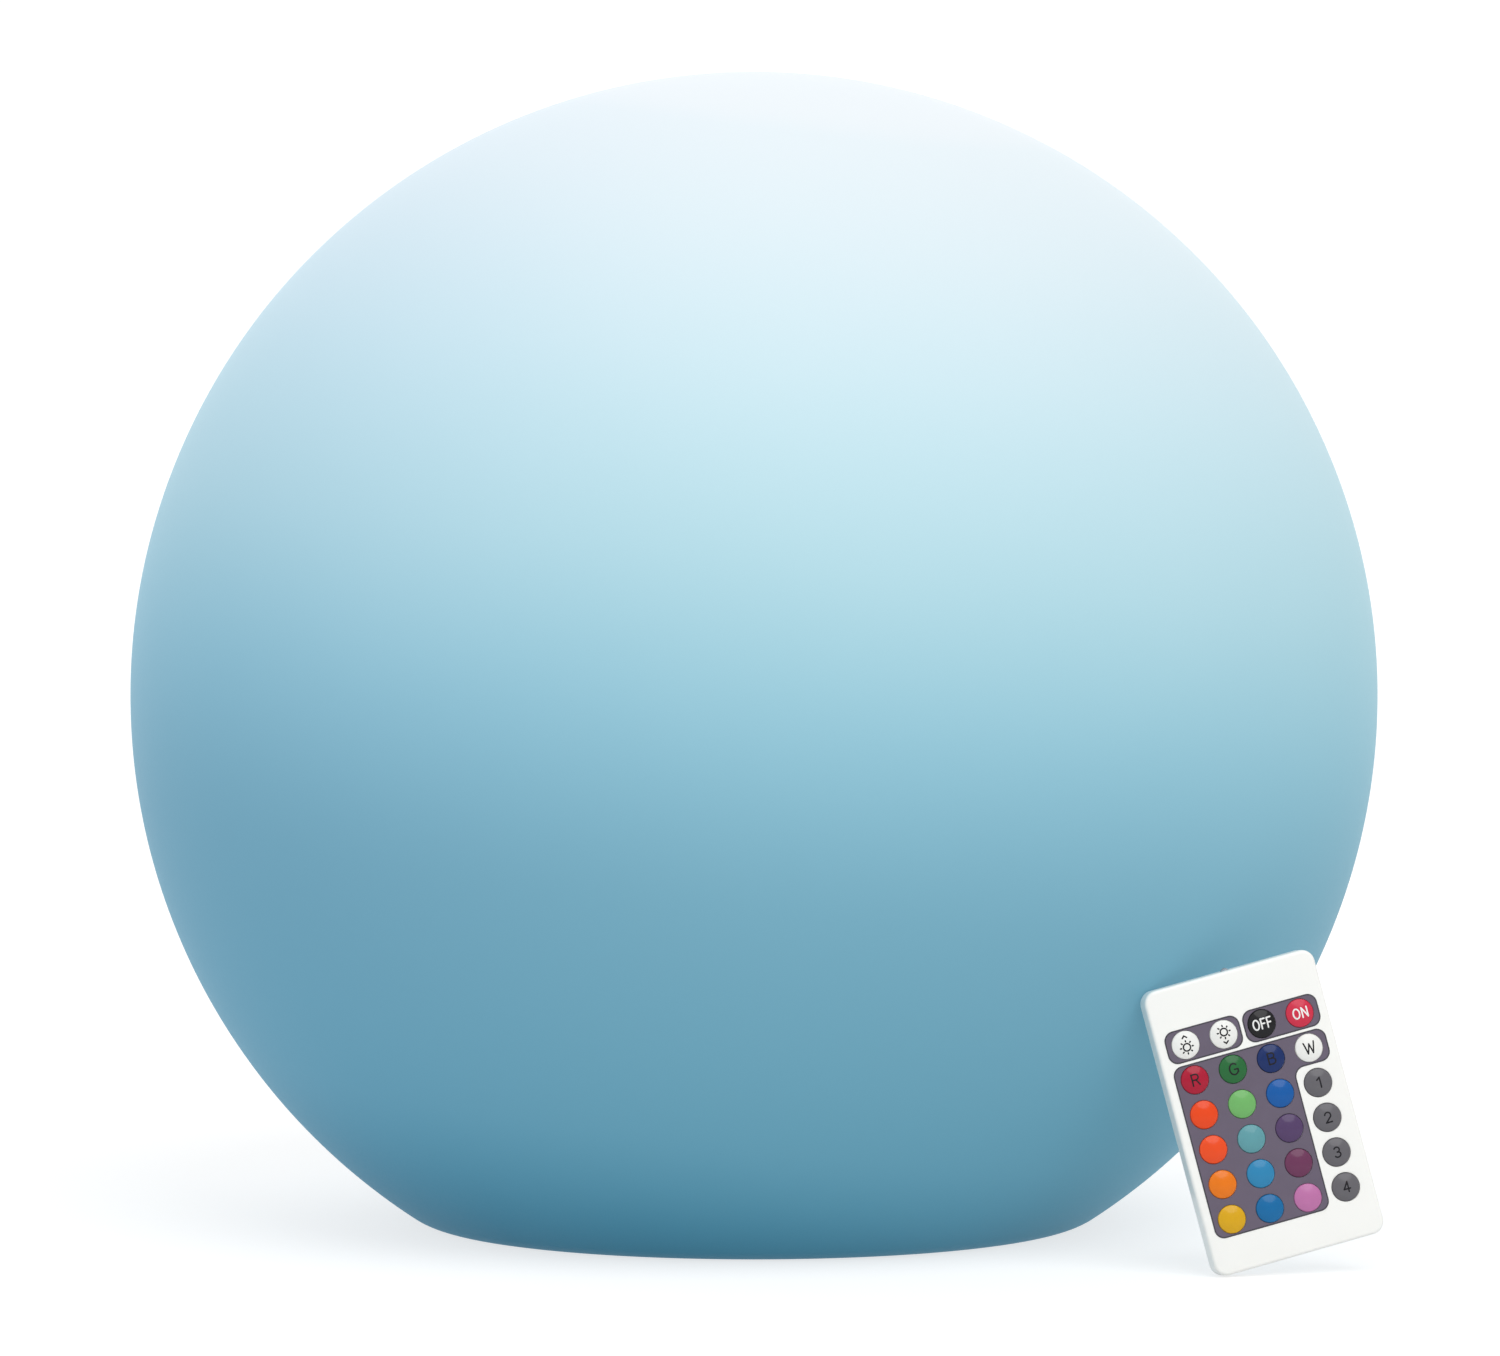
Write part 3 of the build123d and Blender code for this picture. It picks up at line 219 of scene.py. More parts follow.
def mesh_of(name, surfaces, sharp=35.0, weld=2e-6):
    """One mesh from closed surfaces, each given as its grids of points in metres. Points of a
    surface that lie within weld of each other, such as poles and shared edges, are merged. A
    surface whose volume comes out negative is inside out and is turned. Edges of more than sharp
    degrees stay sharp."""
    mesh = bpy.data.meshes.new(name)
    whole = bmesh.new()
    for grids in surfaces:
        places, quads = joined(grids)
        mesh.clear_geometry()
        mesh.from_pydata(places, [], quads)
        shape = bmesh.new()
        shape.from_mesh(mesh)
        bmesh.ops.remove_doubles(shape, verts=shape.verts, dist=weld)
        bmesh.ops.recalc_face_normals(shape, faces=shape.faces)
        if shape.calc_volume(signed=True) < 0:
            bmesh.ops.reverse_faces(shape, faces=shape.faces)
        shape.to_mesh(mesh)
        shape.free()
        whole.from_mesh(mesh)
    whole.to_mesh(mesh)
    whole.free()
    mesh.shade_smooth()
    mesh.set_sharp_from_angle(angle=radians(sharp))
    return mesh


def put(name, mesh, body, finish, nodes=()):
    """Put a mesh in the scene as a piece that rides on a body and stands for some nodes."""
    thing = bpy.data.objects.new(name, mesh)
    bpy.context.scene.collection.objects.link(thing)
    mesh.materials.append(finish)
    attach(thing, body)
    if nodes:
        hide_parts(*nodes)


def dress(finish, *nodes):
    """Give nodes of the frame their material."""
    for node in nodes:
        mesh = frame["nodes"][node].data
        mesh.materials.clear()
        mesh.materials.append(finish)


# ------------------------------------------------------------------------------------ materials


def add(tree, kind, inputs=None, **settings):
    """Add a shader node. inputs gives each socket, by name or number, its value or the output that
    it takes."""
    made = tree.nodes.new(kind)
    for key, value in settings.items():
        setattr(made, key, value)
    for key, value in (inputs or {}).items():
        if isinstance(value, bpy.types.NodeSocket):
            tree.links.new(value, made.inputs[key])
        else:
            made.inputs[key].default_value = value
    return made


MIX_A, MIX_B, MIX_OUT = 6, 7, 2  # the colour sockets of a Mix node


def blank(name):
    """A material with an empty tree, and the Object coordinate that its patterns read."""
    made = bpy.data.materials.new(name)
    made.use_nodes = True
    made.node_tree.nodes.clear()
    return made, made.node_tree, add(made.node_tree, "ShaderNodeTexCoord").outputs["Object"]


def socket_name(word):
    """The name of a Principled socket, from a keyword such as coat_weight."""
    return word.replace("_", " ").title().replace("Ior", "IOR")


def surfaced(name, code, roughness, grain, depth, mottle=12.0, wander=0.05, **shader):
    """A material whose skin has a grain, grain mm wide and depth mm deep, that breaks up its
    highlight, and whose colour wanders by a share over patches mottle mm wide. shader sets
    Principled sockets."""
    made, tree, where = blank(name)
    base = np.array(linear(code) if isinstance(code, str) else code)
    low, high = base * (1 - wander), np.minimum(base * (1 + wander), 1)
    patches = add(
        tree, "ShaderNodeTexNoise", {"Vector": where, "Scale": 1 / (mottle * MM), "Detail": 3.0}
    )
    skin = add(
        tree, "ShaderNodeTexNoise", {"Vector": where, "Scale": 1 / (grain * MM), "Detail": 2.0}
    )
    shades = {"Factor": patches.outputs["Fac"], MIX_A: (*low, 1), MIX_B: (*high, 1)}
    colour = add(tree, "ShaderNodeMix", shades, data_type="RGBA")
    gloss = add(
        tree,
        "ShaderNodeMapRange",
        {"Value": skin.outputs["Fac"], "To Min": roughness * 0.8, "To Max": roughness * 1.2},
    )
    relief = add(
        tree, "ShaderNodeBump", {"Height": skin.outputs["Fac"], "Distance": depth * MM}
    )
    surface = add(
        tree,
        "ShaderNodeBsdfPrincipled",
        {
            "Base Color": colour.outputs[MIX_OUT],
            "Roughness": gloss.outputs["Result"],
            "Normal": relief.outputs["Normal"],
            **{socket_name(word): value for word, value in shader.items()},
        },
    )
    add(tree, "ShaderNodeOutputMaterial", {"Surface": surface.outputs[0]})
    return made


def moulded(name, code, roughness=0.42, **more):
    """Moulded plastic: the tool's fine erosion leaves a satin skin with a soft, slightly broken
    gloss."""
    return surfaced(name, code, roughness, grain=0.35, depth=0.006, **more)


def polished(name, code, roughness=0.2, **more):
    """Plastic from a polished tool: nearly smooth, with a faint orange peel in its reflections."""
    return surfaced(name, code, roughness, grain=2.5, depth=0.008, coat_weight=0.3, **more)


def silicone(name, code, roughness=0.55, **more):
    """Moulded silicone: a dry, velvety skin that dusts over, so its highlight is wide and weak."""
    return surfaced(name, code, roughness, grain=0.25, depth=0.01, ior=1.41, **more)


def metal(name, code, roughness=0.3, grain=0.15, depth=0.003, **more):
    """Rolled, turned or plated metal: fine tool marks spread the highlight."""
    return surfaced(name, code, roughness, grain, depth, metallic=1.0, wander=0.03, **more)


# Height of each colour of the wall, as a share of the ball's height: painted light near white at the crown,
# painted shade darkening to blue-green at the foot.
WALL_STOPS = (
    (0.0, "foot"),
    (0.12, "lower"),
    (0.33, "waist"),
    (0.48, "middle"),
    (0.62, "upper"),
    (0.78, "shoulder"),
    (0.97, "crown"),
)

# The wall's skin, in mm: the long ripple that the mould leaves, and the satin of its blasted face,
# drawn coarser than the real one so that it shows.
RIPPLE_WIDTH, RIPPLE_DEPTH = 90, 0.4
SATIN_WIDTH, SATIN_DEPTH = 1.2, 0.01
SATIN_GLOSS = {"To Min": 0.42, "To Max": 0.54}  # roughness of the satin
LEAN = 0.06  # painted light: how far the wall's colours rise across a radius, towards the light
UNEVEN = 0.02  # how far the ripple moves them
PAINTED_SHADE_START, PAINTED_SHADE_MOST = 0.1, 0.16  # where the painted violet shade begins, in radii, and its most


def polyethylene(name, look, top):
    """Rotationally moulded polyethylene lit from inside. Its colour by height is painted light and shade: the lamp
    below and the light above are painted in, nearly white at the crown and deepening to blue-green in painted
    shade at the foot, and the glow shines in the same painted colours. Its skin is satin with a faint long ripple,
    and the side away from the light has a violet cast of painted shade. top is the ball's height."""
    made, tree, where = blank(name)
    radius = look.diameter / 2
    place = add(tree, "ShaderNodeSeparateXYZ", {"Vector": where})
    ripple = add(
        tree,
        "ShaderNodeTexNoise",
        {"Vector": where, "Scale": 1 / (RIPPLE_WIDTH * MM), "Detail": 2.0},
    )
    skin = add(
        tree,
        "ShaderNodeTexNoise",
        {"Vector": where, "Scale": 1 / (SATIN_WIDTH * MM), "Detail": 2.0},
    )
    level = add(
        tree, "ShaderNodeMapRange", {"Value": place.outputs["Z"], "From Max": top}, clamp=False
    )
    # Painted light: the wall's colours rise across the ball towards the lit side.
    lean = add(
        tree,
        "ShaderNodeMath",
        {0: place.outputs["X"], 1: LEAN / radius, 2: level.outputs["Result"]},
        operation="MULTIPLY_ADD",
    )
    uneven = add(
        tree,
        "ShaderNodeMath",
        {0: ripple.outputs["Fac"], 1: UNEVEN, 2: lean.outputs["Value"]},
        operation="MULTIPLY_ADD",
    )
    wall = add(tree, "ShaderNodeValToRGB", {"Fac": uneven.outputs["Value"]})
    wall.color_ramp.interpolation = "B_SPLINE"
    stops = wall.color_ramp.elements
    for _ in WALL_STOPS[2:]:
        stops.new(0.5)
    for stop, (height, shade) in zip(stops, WALL_STOPS):
        stop.position = height
        stop.color = (*getattr(look, shade), 1)
    # Painted shade: the wall's colour is multiplied towards violet on the side away from the light.
    away = add(
        tree,
        "ShaderNodeMapRange",
        {
            "Value": place.outputs["X"],
            "From Min": PAINTED_SHADE_START * radius,
            "From Max": -radius,
            "To Max": PAINTED_SHADE_MOST,
        },
        interpolation_type="SMOOTHSTEP",
    )
    cast = {"Factor": away.outputs["Result"], MIX_A: wall.outputs["Color"], MIX_B: (*look.shade, 1)}
    colour = add(tree, "ShaderNodeMix", cast, data_type="RGBA", blend_type="MULTIPLY")
    gloss = add(tree, "ShaderNodeMapRange", {"Value": skin.outputs["Fac"], **SATIN_GLOSS})
    wave = add(
        tree, "ShaderNodeBump", {"Height": ripple.outputs["Fac"], "Distance": RIPPLE_DEPTH * MM}
    )
    relief = add(
        tree,
        "ShaderNodeBump",
        {
            "Height": skin.outputs["Fac"],
            "Distance": SATIN_DEPTH * MM,
            "Normal": wave.outputs["Normal"],
        },
    )
    surface = add(
        tree,
        "ShaderNodeBsdfPrincipled",
        {
            "Base Color": colour.outputs[MIX_OUT],
            "Roughness": gloss.outputs["Result"],
            "Normal": relief.outputs["Normal"],
            "Specular IOR Level": 0.05,
            "Emission Color": colour.outputs[MIX_OUT],
            "Emission Strength": look.glow,
        },
    )
    add(tree, "ShaderNodeOutputMaterial", {"Surface": surface.outputs[0]})
    return made


# ----------------------------------------------------------------------------------------- ball


class MakeBall(bpy.types.Operator):
    """Make the moulded ball with its foot, well and neck"""

    bl_idname = "globe_light.ball"
    bl_label = "Ball"

    def execute(self, context):
        """One profile, turned: from the top down the outside to the foot, up the well and through
        the neck, and back up the inside. The foot's rounding touches the ball and the ground: its
        middle is its own radius above the ground, and the ball's radius less its own from the
        ball's middle."""
        look = context.scene.globe_ball
        radius, wall, edge = look.diameter / 2, look.wall, look.foot_edge
        centre = GLOBE_HIGH.z - radius
        edge_x = sqrt((radius - edge) ** 2 - (centre - edge) ** 2)
        touch = degrees(atan2(edge - centre, edge_x))
        well, depth, neck, lip = look.well_radius, look.well_depth, look.neck_radius, look.well_edge
        profile = np.concatenate(
            [
                arc((0, centre), radius, 90, touch, 150),
                arc((edge_x, edge), edge, touch, -90, 16),
                arc((well + lip, lip), lip, -90, -180, 8),
                [(well, depth), (neck, depth), (neck, depth + wall)],
                [(well + wall, depth + wall), (well + wall, wall)],
                arc((edge_x, edge), edge - wall, -90, touch, 10),
                arc((0, centre), radius - wall, touch, 90, 50),
            ]
        )
        mesh = mesh_of("ball", [[turned(profile, look.segments)]], weld=1e-5)
        finish = polyethylene("moulded_polyethylene", look, GLOBE_HIGH.z)
        put("ball", mesh, "globe", finish, ["globe_shell"])
        return {"FINISHED"}


# --------------------------------------------------------------------------------- lamp module


class DressModule(bpy.types.Operator):
    """Give the pieces of the lamp module their materials"""

    bl_idname = "globe_light.module"
    bl_label = "Lamp module"

    def execute(self, context):
        """Every piece keeps its own shape, and gets the finish of what it is made of."""
        # Turned brass: warm and bright, with fine tool marks that spread its highlight.
        dress(metal("turned_brass", "b98f4a", 0.28), "shell_inserts")
        # Silicone, dull and dusty: grey for the flap and the gasket, black for the sealing rings.
        dress(silicone("grey_silicone", "55585c"), "flange_gasket", "socket_flap", "flap_anchor")
        dress(silicone("black_silicone", "1b1c1e", 0.5), "cover_seal", "lens_seal")
        # Polycarbonate blend from a spark-eroded tool: pale, with an even satin.
        dress(moulded("polycarbonate_blend", "dcdfe0", 0.5), "lamp_housing", "base_cover")
        # Passivated steel: a cool, slightly cloudy shine.
        screws = metal("passivated_steel", "b9bcbf", 0.32)
        dress(screws, "flange_screws", "cover_screws", "small_screws")
        # Translucent silicone: milky, because light goes a little way in.
        milky = silicone("translucent_silicone", "c3c9cd", 0.48, subsurface_weight=0.15)
        dress(milky, "power_button")
        # Black nylon: nearly black, with a soft sheen.
        dress(moulded("black_nylon", "1a1a1c"), "switch_plunger", "power_switch", "charge_socket")
        # Solder mask: a thin glossy lacquer. The green one is darker over bare board than copper.
        green = polished("green_solder_mask", "1f5a36", 0.28, mottle=3.0, wander=0.25)
        dress(green, "control_board")
        dress(polished("white_solder_mask", "eceeec", 0.25), "led_board")
        # Cast resin: smooth, and yellow with the lamps' phosphor or dark red for infrared.
        dress(polished("lamp_resin", "efe3a4", 0.18, subsurface_weight=0.3), "color_leds")
        dress(polished("dark_resin", "2a1018", 0.12), "ir_receiver")
        # Clear polycarbonate from a polished tool: sharp reflections, and the inside shows.
        clear = {"transmission_weight": 0.9, "ior": 1.586, "wander": 0.01}
        dress(polished("clear_polycarbonate", "eef6f9", 0.08, **clear), "lens_dome", "status_lens")
        # Shrink wrap: thin vinyl drawn tight, glossy and faintly rippled.
        dress(polished("shrink_wrap", "2f6db0", 0.22), "battery_cells")
        # Closed-cell foam: dull, with the cut cells as a fine relief.
        dress(surfaced("closed_cell_foam", "26272a", 0.9, grain=0.5, depth=0.12), "battery_pad")
        # Spring steel: rolled bright, with wide soft reflections.
        dress(metal("spring_steel", "c4c6c8", 0.22, grain=0.4), "battery_strap")
        # Ribbon vinyl: pale grey and half glossy.
        dress(polished("ribbon_vinyl", "c9cacb", 0.35), "lamp_leads")
        return {"FINISHED"}


# ------------------------------------------------------------------------------- remote: the case


def key_middle(node):
    """Middle of a key on the remote's face, in mm."""
    return KEY_SPANS[node].mean(0)[:2]


def key_lines(axis):
    """The different places of the keys along one axis of the remote, lowest first, in mm."""
    return np.unique([round(float(key_middle(node)[axis]), 2) for node in KEY_SPANS])


COLUMNS, ROWS = key_lines(0), key_lines(1)
PITCH = np.array([np.diff(COLUMNS).mean(), np.diff(ROWS).mean()])
KEYPAD_MIDDLE = np.array([COLUMNS.mean(), ROWS.mean()])
KEYPAD_HALF = PITCH * (len(COLUMNS), len(ROWS)) / 2
CELL_STEPS = 14  # columns of a hole's grid on each side of its cell


def side_steps(half, other):
    """Places along one side of a rectangle that are evenly spread as angles from its middle."""
    reach = np.arctan2(half, other)
    return other * np.tan(np.linspace(-reach, reach, CELL_STEPS + 1))


def loop(xs, ys):
    """Points anticlockwise round a rectangle, given their places along its sides, with each corner
    once."""
    across, along = np.asarray(xs), np.asarray(ys)
    low, high = np.full(len(across) - 1, along[0]), np.full(len(across) - 1, along[-1])
    left, right = np.full(len(along) - 1, across[0]), np.full(len(along) - 1, across[-1])
    x = np.concatenate([across[:-1], right, across[:0:-1], left])
    y = np.concatenate([low, along[:-1], high, along[:0:-1]])
    return np.stack([x, y], 1)


def cell(middle):
    """Points round the part of the face that belongs to the key there."""
    halves = PITCH / 2
    return loop(side_steps(*halves) + middle[0], side_steps(*halves[::-1]) + middle[1])


def ringed(outer, middle, radius):
    """The points of a circle that lie towards the points of a loop round it."""
    way = outer - middle
    return middle + radius * way / np.linalg.norm(way, axis=1, keepdims=True)


def outline_columns(bends):
    """Columns of the border between the keypad and the case's outline. A column has its point on
    the keypad's rectangle, its share of the outline's core, and the outward direction that the
    outline's corner arc takes there. A corner of the rectangle is repeated while that turns, bends
    times in all."""
    xs = np.unique(np.concatenate([side_steps(*PITCH / 2) + x for x in COLUMNS]).round(6))
    ys = np.unique(np.concatenate([side_steps(*PITCH[::-1] / 2) + y for y in ROWS]).round(6))
    flat = np.ones_like
    sides = [
        np.stack([xs, flat(xs) * ys[0]], 1),
        np.stack([flat(ys) * xs[-1], ys], 1),
        np.stack([xs[::-1], flat(xs) * ys[-1]], 1),
        np.stack([flat(ys) * xs[0], ys[::-1]], 1),
    ]
    points, turns = [], []
    for number, side in enumerate(sides):
        start = -90 + 90 * number
        points += [side, np.repeat(side[-1:], bends - 1, 0)]
        turns += [np.full(len(side), start), np.linspace(start, start + 90, bends + 1)[1:-1]]
    points, turns = np.concatenate(points), np.radians(np.concatenate(turns))
    share = (points - KEYPAD_MIDDLE) / KEYPAD_HALF
    return points, share, np.stack([np.cos(turns), np.sin(turns)], 1)


class MakeCase(bpy.types.Operator):
    """Make the front shell of the remote, and finish its back, tray and inside"""

    bl_idname = "globe_light.case"
    bl_label = "Remote case"

    def execute(self, context):
        """The face is a cell of rings round each key's hole, and a border that runs from the keypad
        out to the rounded outline, over the edge, down the side, across the lip, up the inside of
        the wall and back under the face. The outline is a core rectangle, widened on all sides by
        the corner's radius less the inset."""
        look = context.scene.globe_remote
        names = ("corner", "edge", "wall", "plate", "split", "hole", "film")
        corner, edge, wall, plate, split, hole, film = (getattr(look, name) / MM for name in names)
        top, under = FACE - film, FACE - plate
        rim, groove = 0.12, 0.12  # rounding of each hole, and half of the groove between the shells
        points, share, outward = outline_columns(bends=10)
        core = share * (REMOTE_HALF - corner)

        def outline(inset):
            """The case's outline, drawn in by an inset."""
            return core + (corner - inset) * outward

        over = np.radians(np.linspace(0, 90, 9))
        insets = [*(edge * (1 - np.sin(over))), 0, groove, wall]
        heights = [*(top - edge * (1 - np.cos(over))), split + groove, split, split]
        loops = [points, (points + outline(edge)) / 2, *(outline(inset) for inset in insets)]
        loops += [outline(wall), (points + outline(wall)) / 2, points]
        levels = [top, top, *heights, under, under, under]
        grids = [lifted(loops, levels)]
        bend = np.radians(np.linspace(0, 90, 4))
        for middle in (key_middle(node) for node in KEY_SPANS):
            square = cell(middle)
            radii = [*(hole + rim * (1 - np.sin(bend))), hole]
            rings = [ringed(square, middle, radius) for radius in radii]
            levels = [top, top, *(top - rim * (1 - np.cos(bend))), under, under]
            grids.append(lifted([square, (square + rings[0]) / 2, *rings, square], levels))
        mesh = mesh_of("remote_case", [[on_remote(grid) for grid in grids]], weld=1e-5)

        # Polished ABS: white, with a clear gloss and hardly a wave in it. The tray's is satin.
        gloss = {"grain": 4.0, "depth": 0.0015, "coat_weight": 0.35, "coat_roughness": 0.12}
        white = surfaced("polished_abs", look.case, 0.36, wander=0.012, **gloss)
        put("remote_case", mesh, "remote", white, ["remote_front"])
        dress(white, "remote_back")
        satin = surfaced("satin_abs", "ecece9", 0.4, grain=0.6, depth=0.008, wander=0.02)
        dress(satin, "battery_tray")
        # Silicone: the mat is pale, dull and dusty.
        dress(silicone("mat_silicone", "c9c8c2"), "key_mat")
        # Paper laminate: brown and half matt, with the fibres showing in its colour.
        card = surfaced("paper_laminate", "8a6438", 0.45, grain=0.4, depth=0.01, wander=0.15)
        dress(card, "remote_board")
        # Epoxy: black, and smooth because it sets from a drop.
        dress(polished("epoxy_blob", "141416", 0.2), "remote_chip")
        # Rolled steel for the cell's bright can, and plated bronze, warmer, for the contacts.
        dress(metal("rolled_steel", "c3c5c7", 0.2, grain=0.3), "coin_cell")
        dress(metal("plated_bronze", "c79a62", 0.25), "cell_contacts")
        return {"FINISHED"}


AREA_CORNER = 3.0  # corner radius of the printed areas
LINE_RISE = 0.02  # how far the dark line stands above the film, and reaches below it


def rounded(corners, radius, count=12):
    """Points and outward directions round a shape with square corners, listed anticlockwise, whose
    corners are arcs of count points. A corner's arc turns from one side's outward direction to the
    next one's, about the point a radius back along one side and a radius on along the other."""
    corners = np.asarray(corners, float)
    into = corners - np.roll(corners, 1, 0)
    into /= np.linalg.norm(into, axis=1, keepdims=True)
    onward = np.roll(into, -1, 0)
    bend = into[:, :1] * onward[:, 1:] - into[:, 1:] * onward[:, :1]  # 1 outside, -1 inside
    angle = np.arctan2(-into[:, :1], into[:, 1:]) + bend * np.linspace(0, np.pi / 2, count)
    out = np.stack([np.cos(angle), np.sin(angle)], -1)
    points = (corners + radius * (onward - into))[:, None] + radius * bend[..., None] * out
    return points.reshape(-1, 2), out.reshape(-1, 2)


class MakePrint(bpy.types.Operator):
    """Finish the printed film round the keys and make the dark lines along its edges"""

    bl_idname = "globe_light.printing"
    bl_label = "Printed areas"

    def execute(self, context):
        """A flat line of dark ink, carried round just inside the film's outline. Two areas share
        the top row. The big one takes in the last column of keys only in its first row, and its
        edge below that lies halfway between the last two columns."""
        look = context.scene.globe_remote
        # Screen ink: a thin half-matt film, a little uneven where the squeegee passed.
        ink = {"grain": 0.3, "depth": 0.004, "mottle": 5.0, "wander": 0.08}
        dress(surfaced("screen_ink", look.printed, 0.36, **ink), "remote_overlay")
        film = remote_span("remote_overlay") - REMOTE_ORIGIN
        (left, low), (right, high) = film[:, :2]
        half = high - ROWS[-1]
        inner = (COLUMNS[-2] + COLUMNS[-1]) / 2
        panel_top, arm_low = ROWS[-2] + half, ROWS[-2] - half
        slit = 0.5  # half of the white strip between the areas of the top row
        row_low = high - 2 * half
        panel = [(left, low), (inner, low), (inner, arm_low)]
        panel += [(right, arm_low), (right, panel_top), (left, panel_top)]
        areas = [
            [(left, row_low), (-slit, row_low), (-slit, high), (left, high)],
            [(slit, row_low), (right, row_low), (right, high), (slit, high)],
            panel,
        ]
        section = np.array([(0, -1), (0, 1), (1, 1), (1, -1), (0, -1)]) * (1, LINE_RISE)
        grids = []
        for corners in areas:
            points, out = rounded(corners, AREA_CORNER)
            inward = section[:, :1, None] * look.keyline / MM
            grids.append(lifted(points - inward * out, FACE + section[:, 1]))
        mesh = mesh_of("keylines", [[on_remote(grid)] for grid in grids])
        # Keyline ink: laid on denser, nearly black and a little smoother.
        dark = surfaced("keyline_ink", look.outline, 0.4, grain=0.3, depth=0.003)
        put("keylines", mesh, "remote", dark)
        return {"FINISHED"}


# --------------------------------------------------------------------------------- remote: keys


def key_dome(look):
    """Radius of a key's dome, in mm. The circle through the rim and the top has as its radius the
    rim's radius squared plus the crown squared, over twice the crown."""
    rim, crown = look.key_radius / MM, look.crown / MM
    return (rim * rim + crown * crown) / (2 * crown)


# Colours of the keys' silicone, by the end of their slots' names.
KEY_COLOURS = {
    "white": "f4f4f0",
    "off": "17171a",
    "on": "d4304b",
    "red": "b01434",
    "green": "256b38",
    "blue": "132d66",
    "orange": "f04a17",
    "light_green": "74b86a",
    "royal_blue": "0f5ca8",
    "grey": "68666b",
    "amber": "f2501f",
    "teal": "62a0a8",
    "violet": "553f68",
    "gold": "f07c14",
    "sky_blue": "2f88b8",
    "magenta": "6e3659",
    "yellow": "dfab17",
    "azure": "0f6ca6",
    "pink": "c276ab",
}

# Silicone keys with a thin clear lacquer: strong colour, and a small soft highlight.
KEY_GLOSS = dict(
    specular_ior_level=0.12, coat_weight=0.32, coat_roughness=0.1, wander=0.04, mottle=3.0
)


class MakeKeys(bpy.types.Operator):
    """Make the domed keys"""

    bl_idname = "globe_light.keys"
    bl_label = "Keys"

    def execute(self, context):
        """Each key is turned: its dome, a small rounding inside the rim, the side, and the flange
        under the face. The rounding touches the dome and the side: its middle is its own radius
        inside the rim, and the dome's radius less its own from the dome's middle."""
        look = context.scene.globe_remote
        rim, wide, flange = (
            value / MM for value in (look.key_radius, look.flange_radius, look.flange)
        )
        dome = key_dome(look)
        rounding = 0.35
        finishes = {}
        for node, span in KEY_SPANS.items():
            top, low = span[1, 2], span[0, 2]
            middle = top - dome
            bend_z = middle + sqrt((dome - rounding) ** 2 - (rim - rounding) ** 2)
            touch = degrees(atan2(bend_z - middle, rim - rounding))
            profile = np.concatenate(
                [
                    arc((0, middle), dome, 90, touch, 14),
                    arc((rim - rounding, bend_z), rounding, touch, 0, 6),
                    [(rim, low + flange), (wide, low + flange), (wide, low), (0, low)],
                ]
            )
            grid = turned(profile, segments=56) + (*key_middle(node), 0)
            shade = SLOTS[node].removeprefix("key_rubber_")
            if shade not in finishes:
                code = KEY_COLOURS[shade]
                finishes[shade] = silicone("silicone_" + shade, code, 0.36, **KEY_GLOSS)
            mesh = mesh_of(node + "_cap", [[on_remote(grid)]], weld=1e-5)
            put(node + "_cap", mesh, node, finishes[shade], [node])
        return {"FINISHED"}


# ------------------------------------------------------------------------- remote: printed signs


def bow(x, y, wide, high, start, end):
    """A stroke along an ellipse."""
    return arc((0, 0), 1, start, end, 25) * (wide, high) + (x, y)


def line(*points):
    """A stroke through points."""
    return np.array(points, float)


# Strokes of each sign, with letters one unit high. Each entry is its width and its strokes.
SIGNS = {
    "O": (0.78, [bow(0.39, 0.5, 0.39, 0.5, 90, 450)]),
    "N": (0.7, [line((0, 0), (0, 1)), line((0, 1), (0.7, 0)), line((0.7, 0), (0.7, 1))]),
    "F": (0.56, [line((0, 0), (0, 1)), line((0, 1), (0.56, 1)), line((0, 0.5), (0.48, 0.5))]),
    "R": (
        0.64,
        [
            line((0, 0), (0, 1)),
            line((0, 1), (0.36, 1)),
            bow(0.36, 0.75, 0.25, 0.25, 90, -90),
            line((0.36, 0.5), (0, 0.5)),
            line((0.34, 0.5), (0.64, 0)),
        ],
    ),
    "G": (
        0.76,
        [bow(0.4, 0.5, 0.4, 0.5, 48, 340), line((0.44, 0.46), (0.78, 0.46), (0.78, 0.2))],
    ),
    "B": (
        0.64,
        [
            line((0, 0), (0, 1)),
            line((0, 1), (0.34, 1)),
            bow(0.34, 0.77, 0.24, 0.23, 90, -90),
            line((0.34, 0.54), (0, 0.54)),
            bow(0.34, 0.27, 0.3, 0.27, 90, -90),
            line((0.34, 0), (0, 0)),
        ],
    ),
    "W": (
        0.96,
        [
            line((0, 1), (0.24, 0)),
            line((0.24, 0), (0.48, 0.85)),
            line((0.48, 0.85), (0.72, 0)),
            line((0.72, 0), (0.96, 1)),
        ],
    ),
    "1": (0.3, [line((0, 0.78), (0.3, 1)), line((0.3, 1), (0.3, 0))]),
    "2": (
        0.6,
        [bow(0.3, 0.7, 0.3, 0.3, 165, -35), line((0.54, 0.53), (0, 0)), line((0, 0), (0.62, 0))],
    ),
    "3": (0.58, [bow(0.27, 0.75, 0.27, 0.25, 150, -90), bow(0.27, 0.26, 0.31, 0.26, 90, -150)]),
    "4": (
        0.62,
        [line((0.46, 0), (0.46, 1)), line((0.46, 1), (0, 0.3)), line((0, 0.3), (0.66, 0.3))],
    ),
}


def sun(way):
    """A round sun with eight rays and an arrowhead that points away from it, in mm. way is 1 for up
    and -1 for down."""
    middle, disc, inner, outer = -0.7 * way, 1.1, 1.72, 1.98
    tip, barb, half = 2.75 * way, 2.15 * way, 0.65
    strokes = [bow(0, middle, disc, disc, 0, 360)]
    for turn in np.radians(np.arange(0, 360, 45)):
        ray = np.array([cos(turn), sin(turn)])
        strokes.append(line(ray * inner, ray * outer) + (0, middle))
    strokes.append(line((-half, barb), (0, tip)))
    strokes.append(line((0, tip), (half, barb)))
    return strokes


LETTER_GAP = 0.34  # between the letters of a word, in letter heights


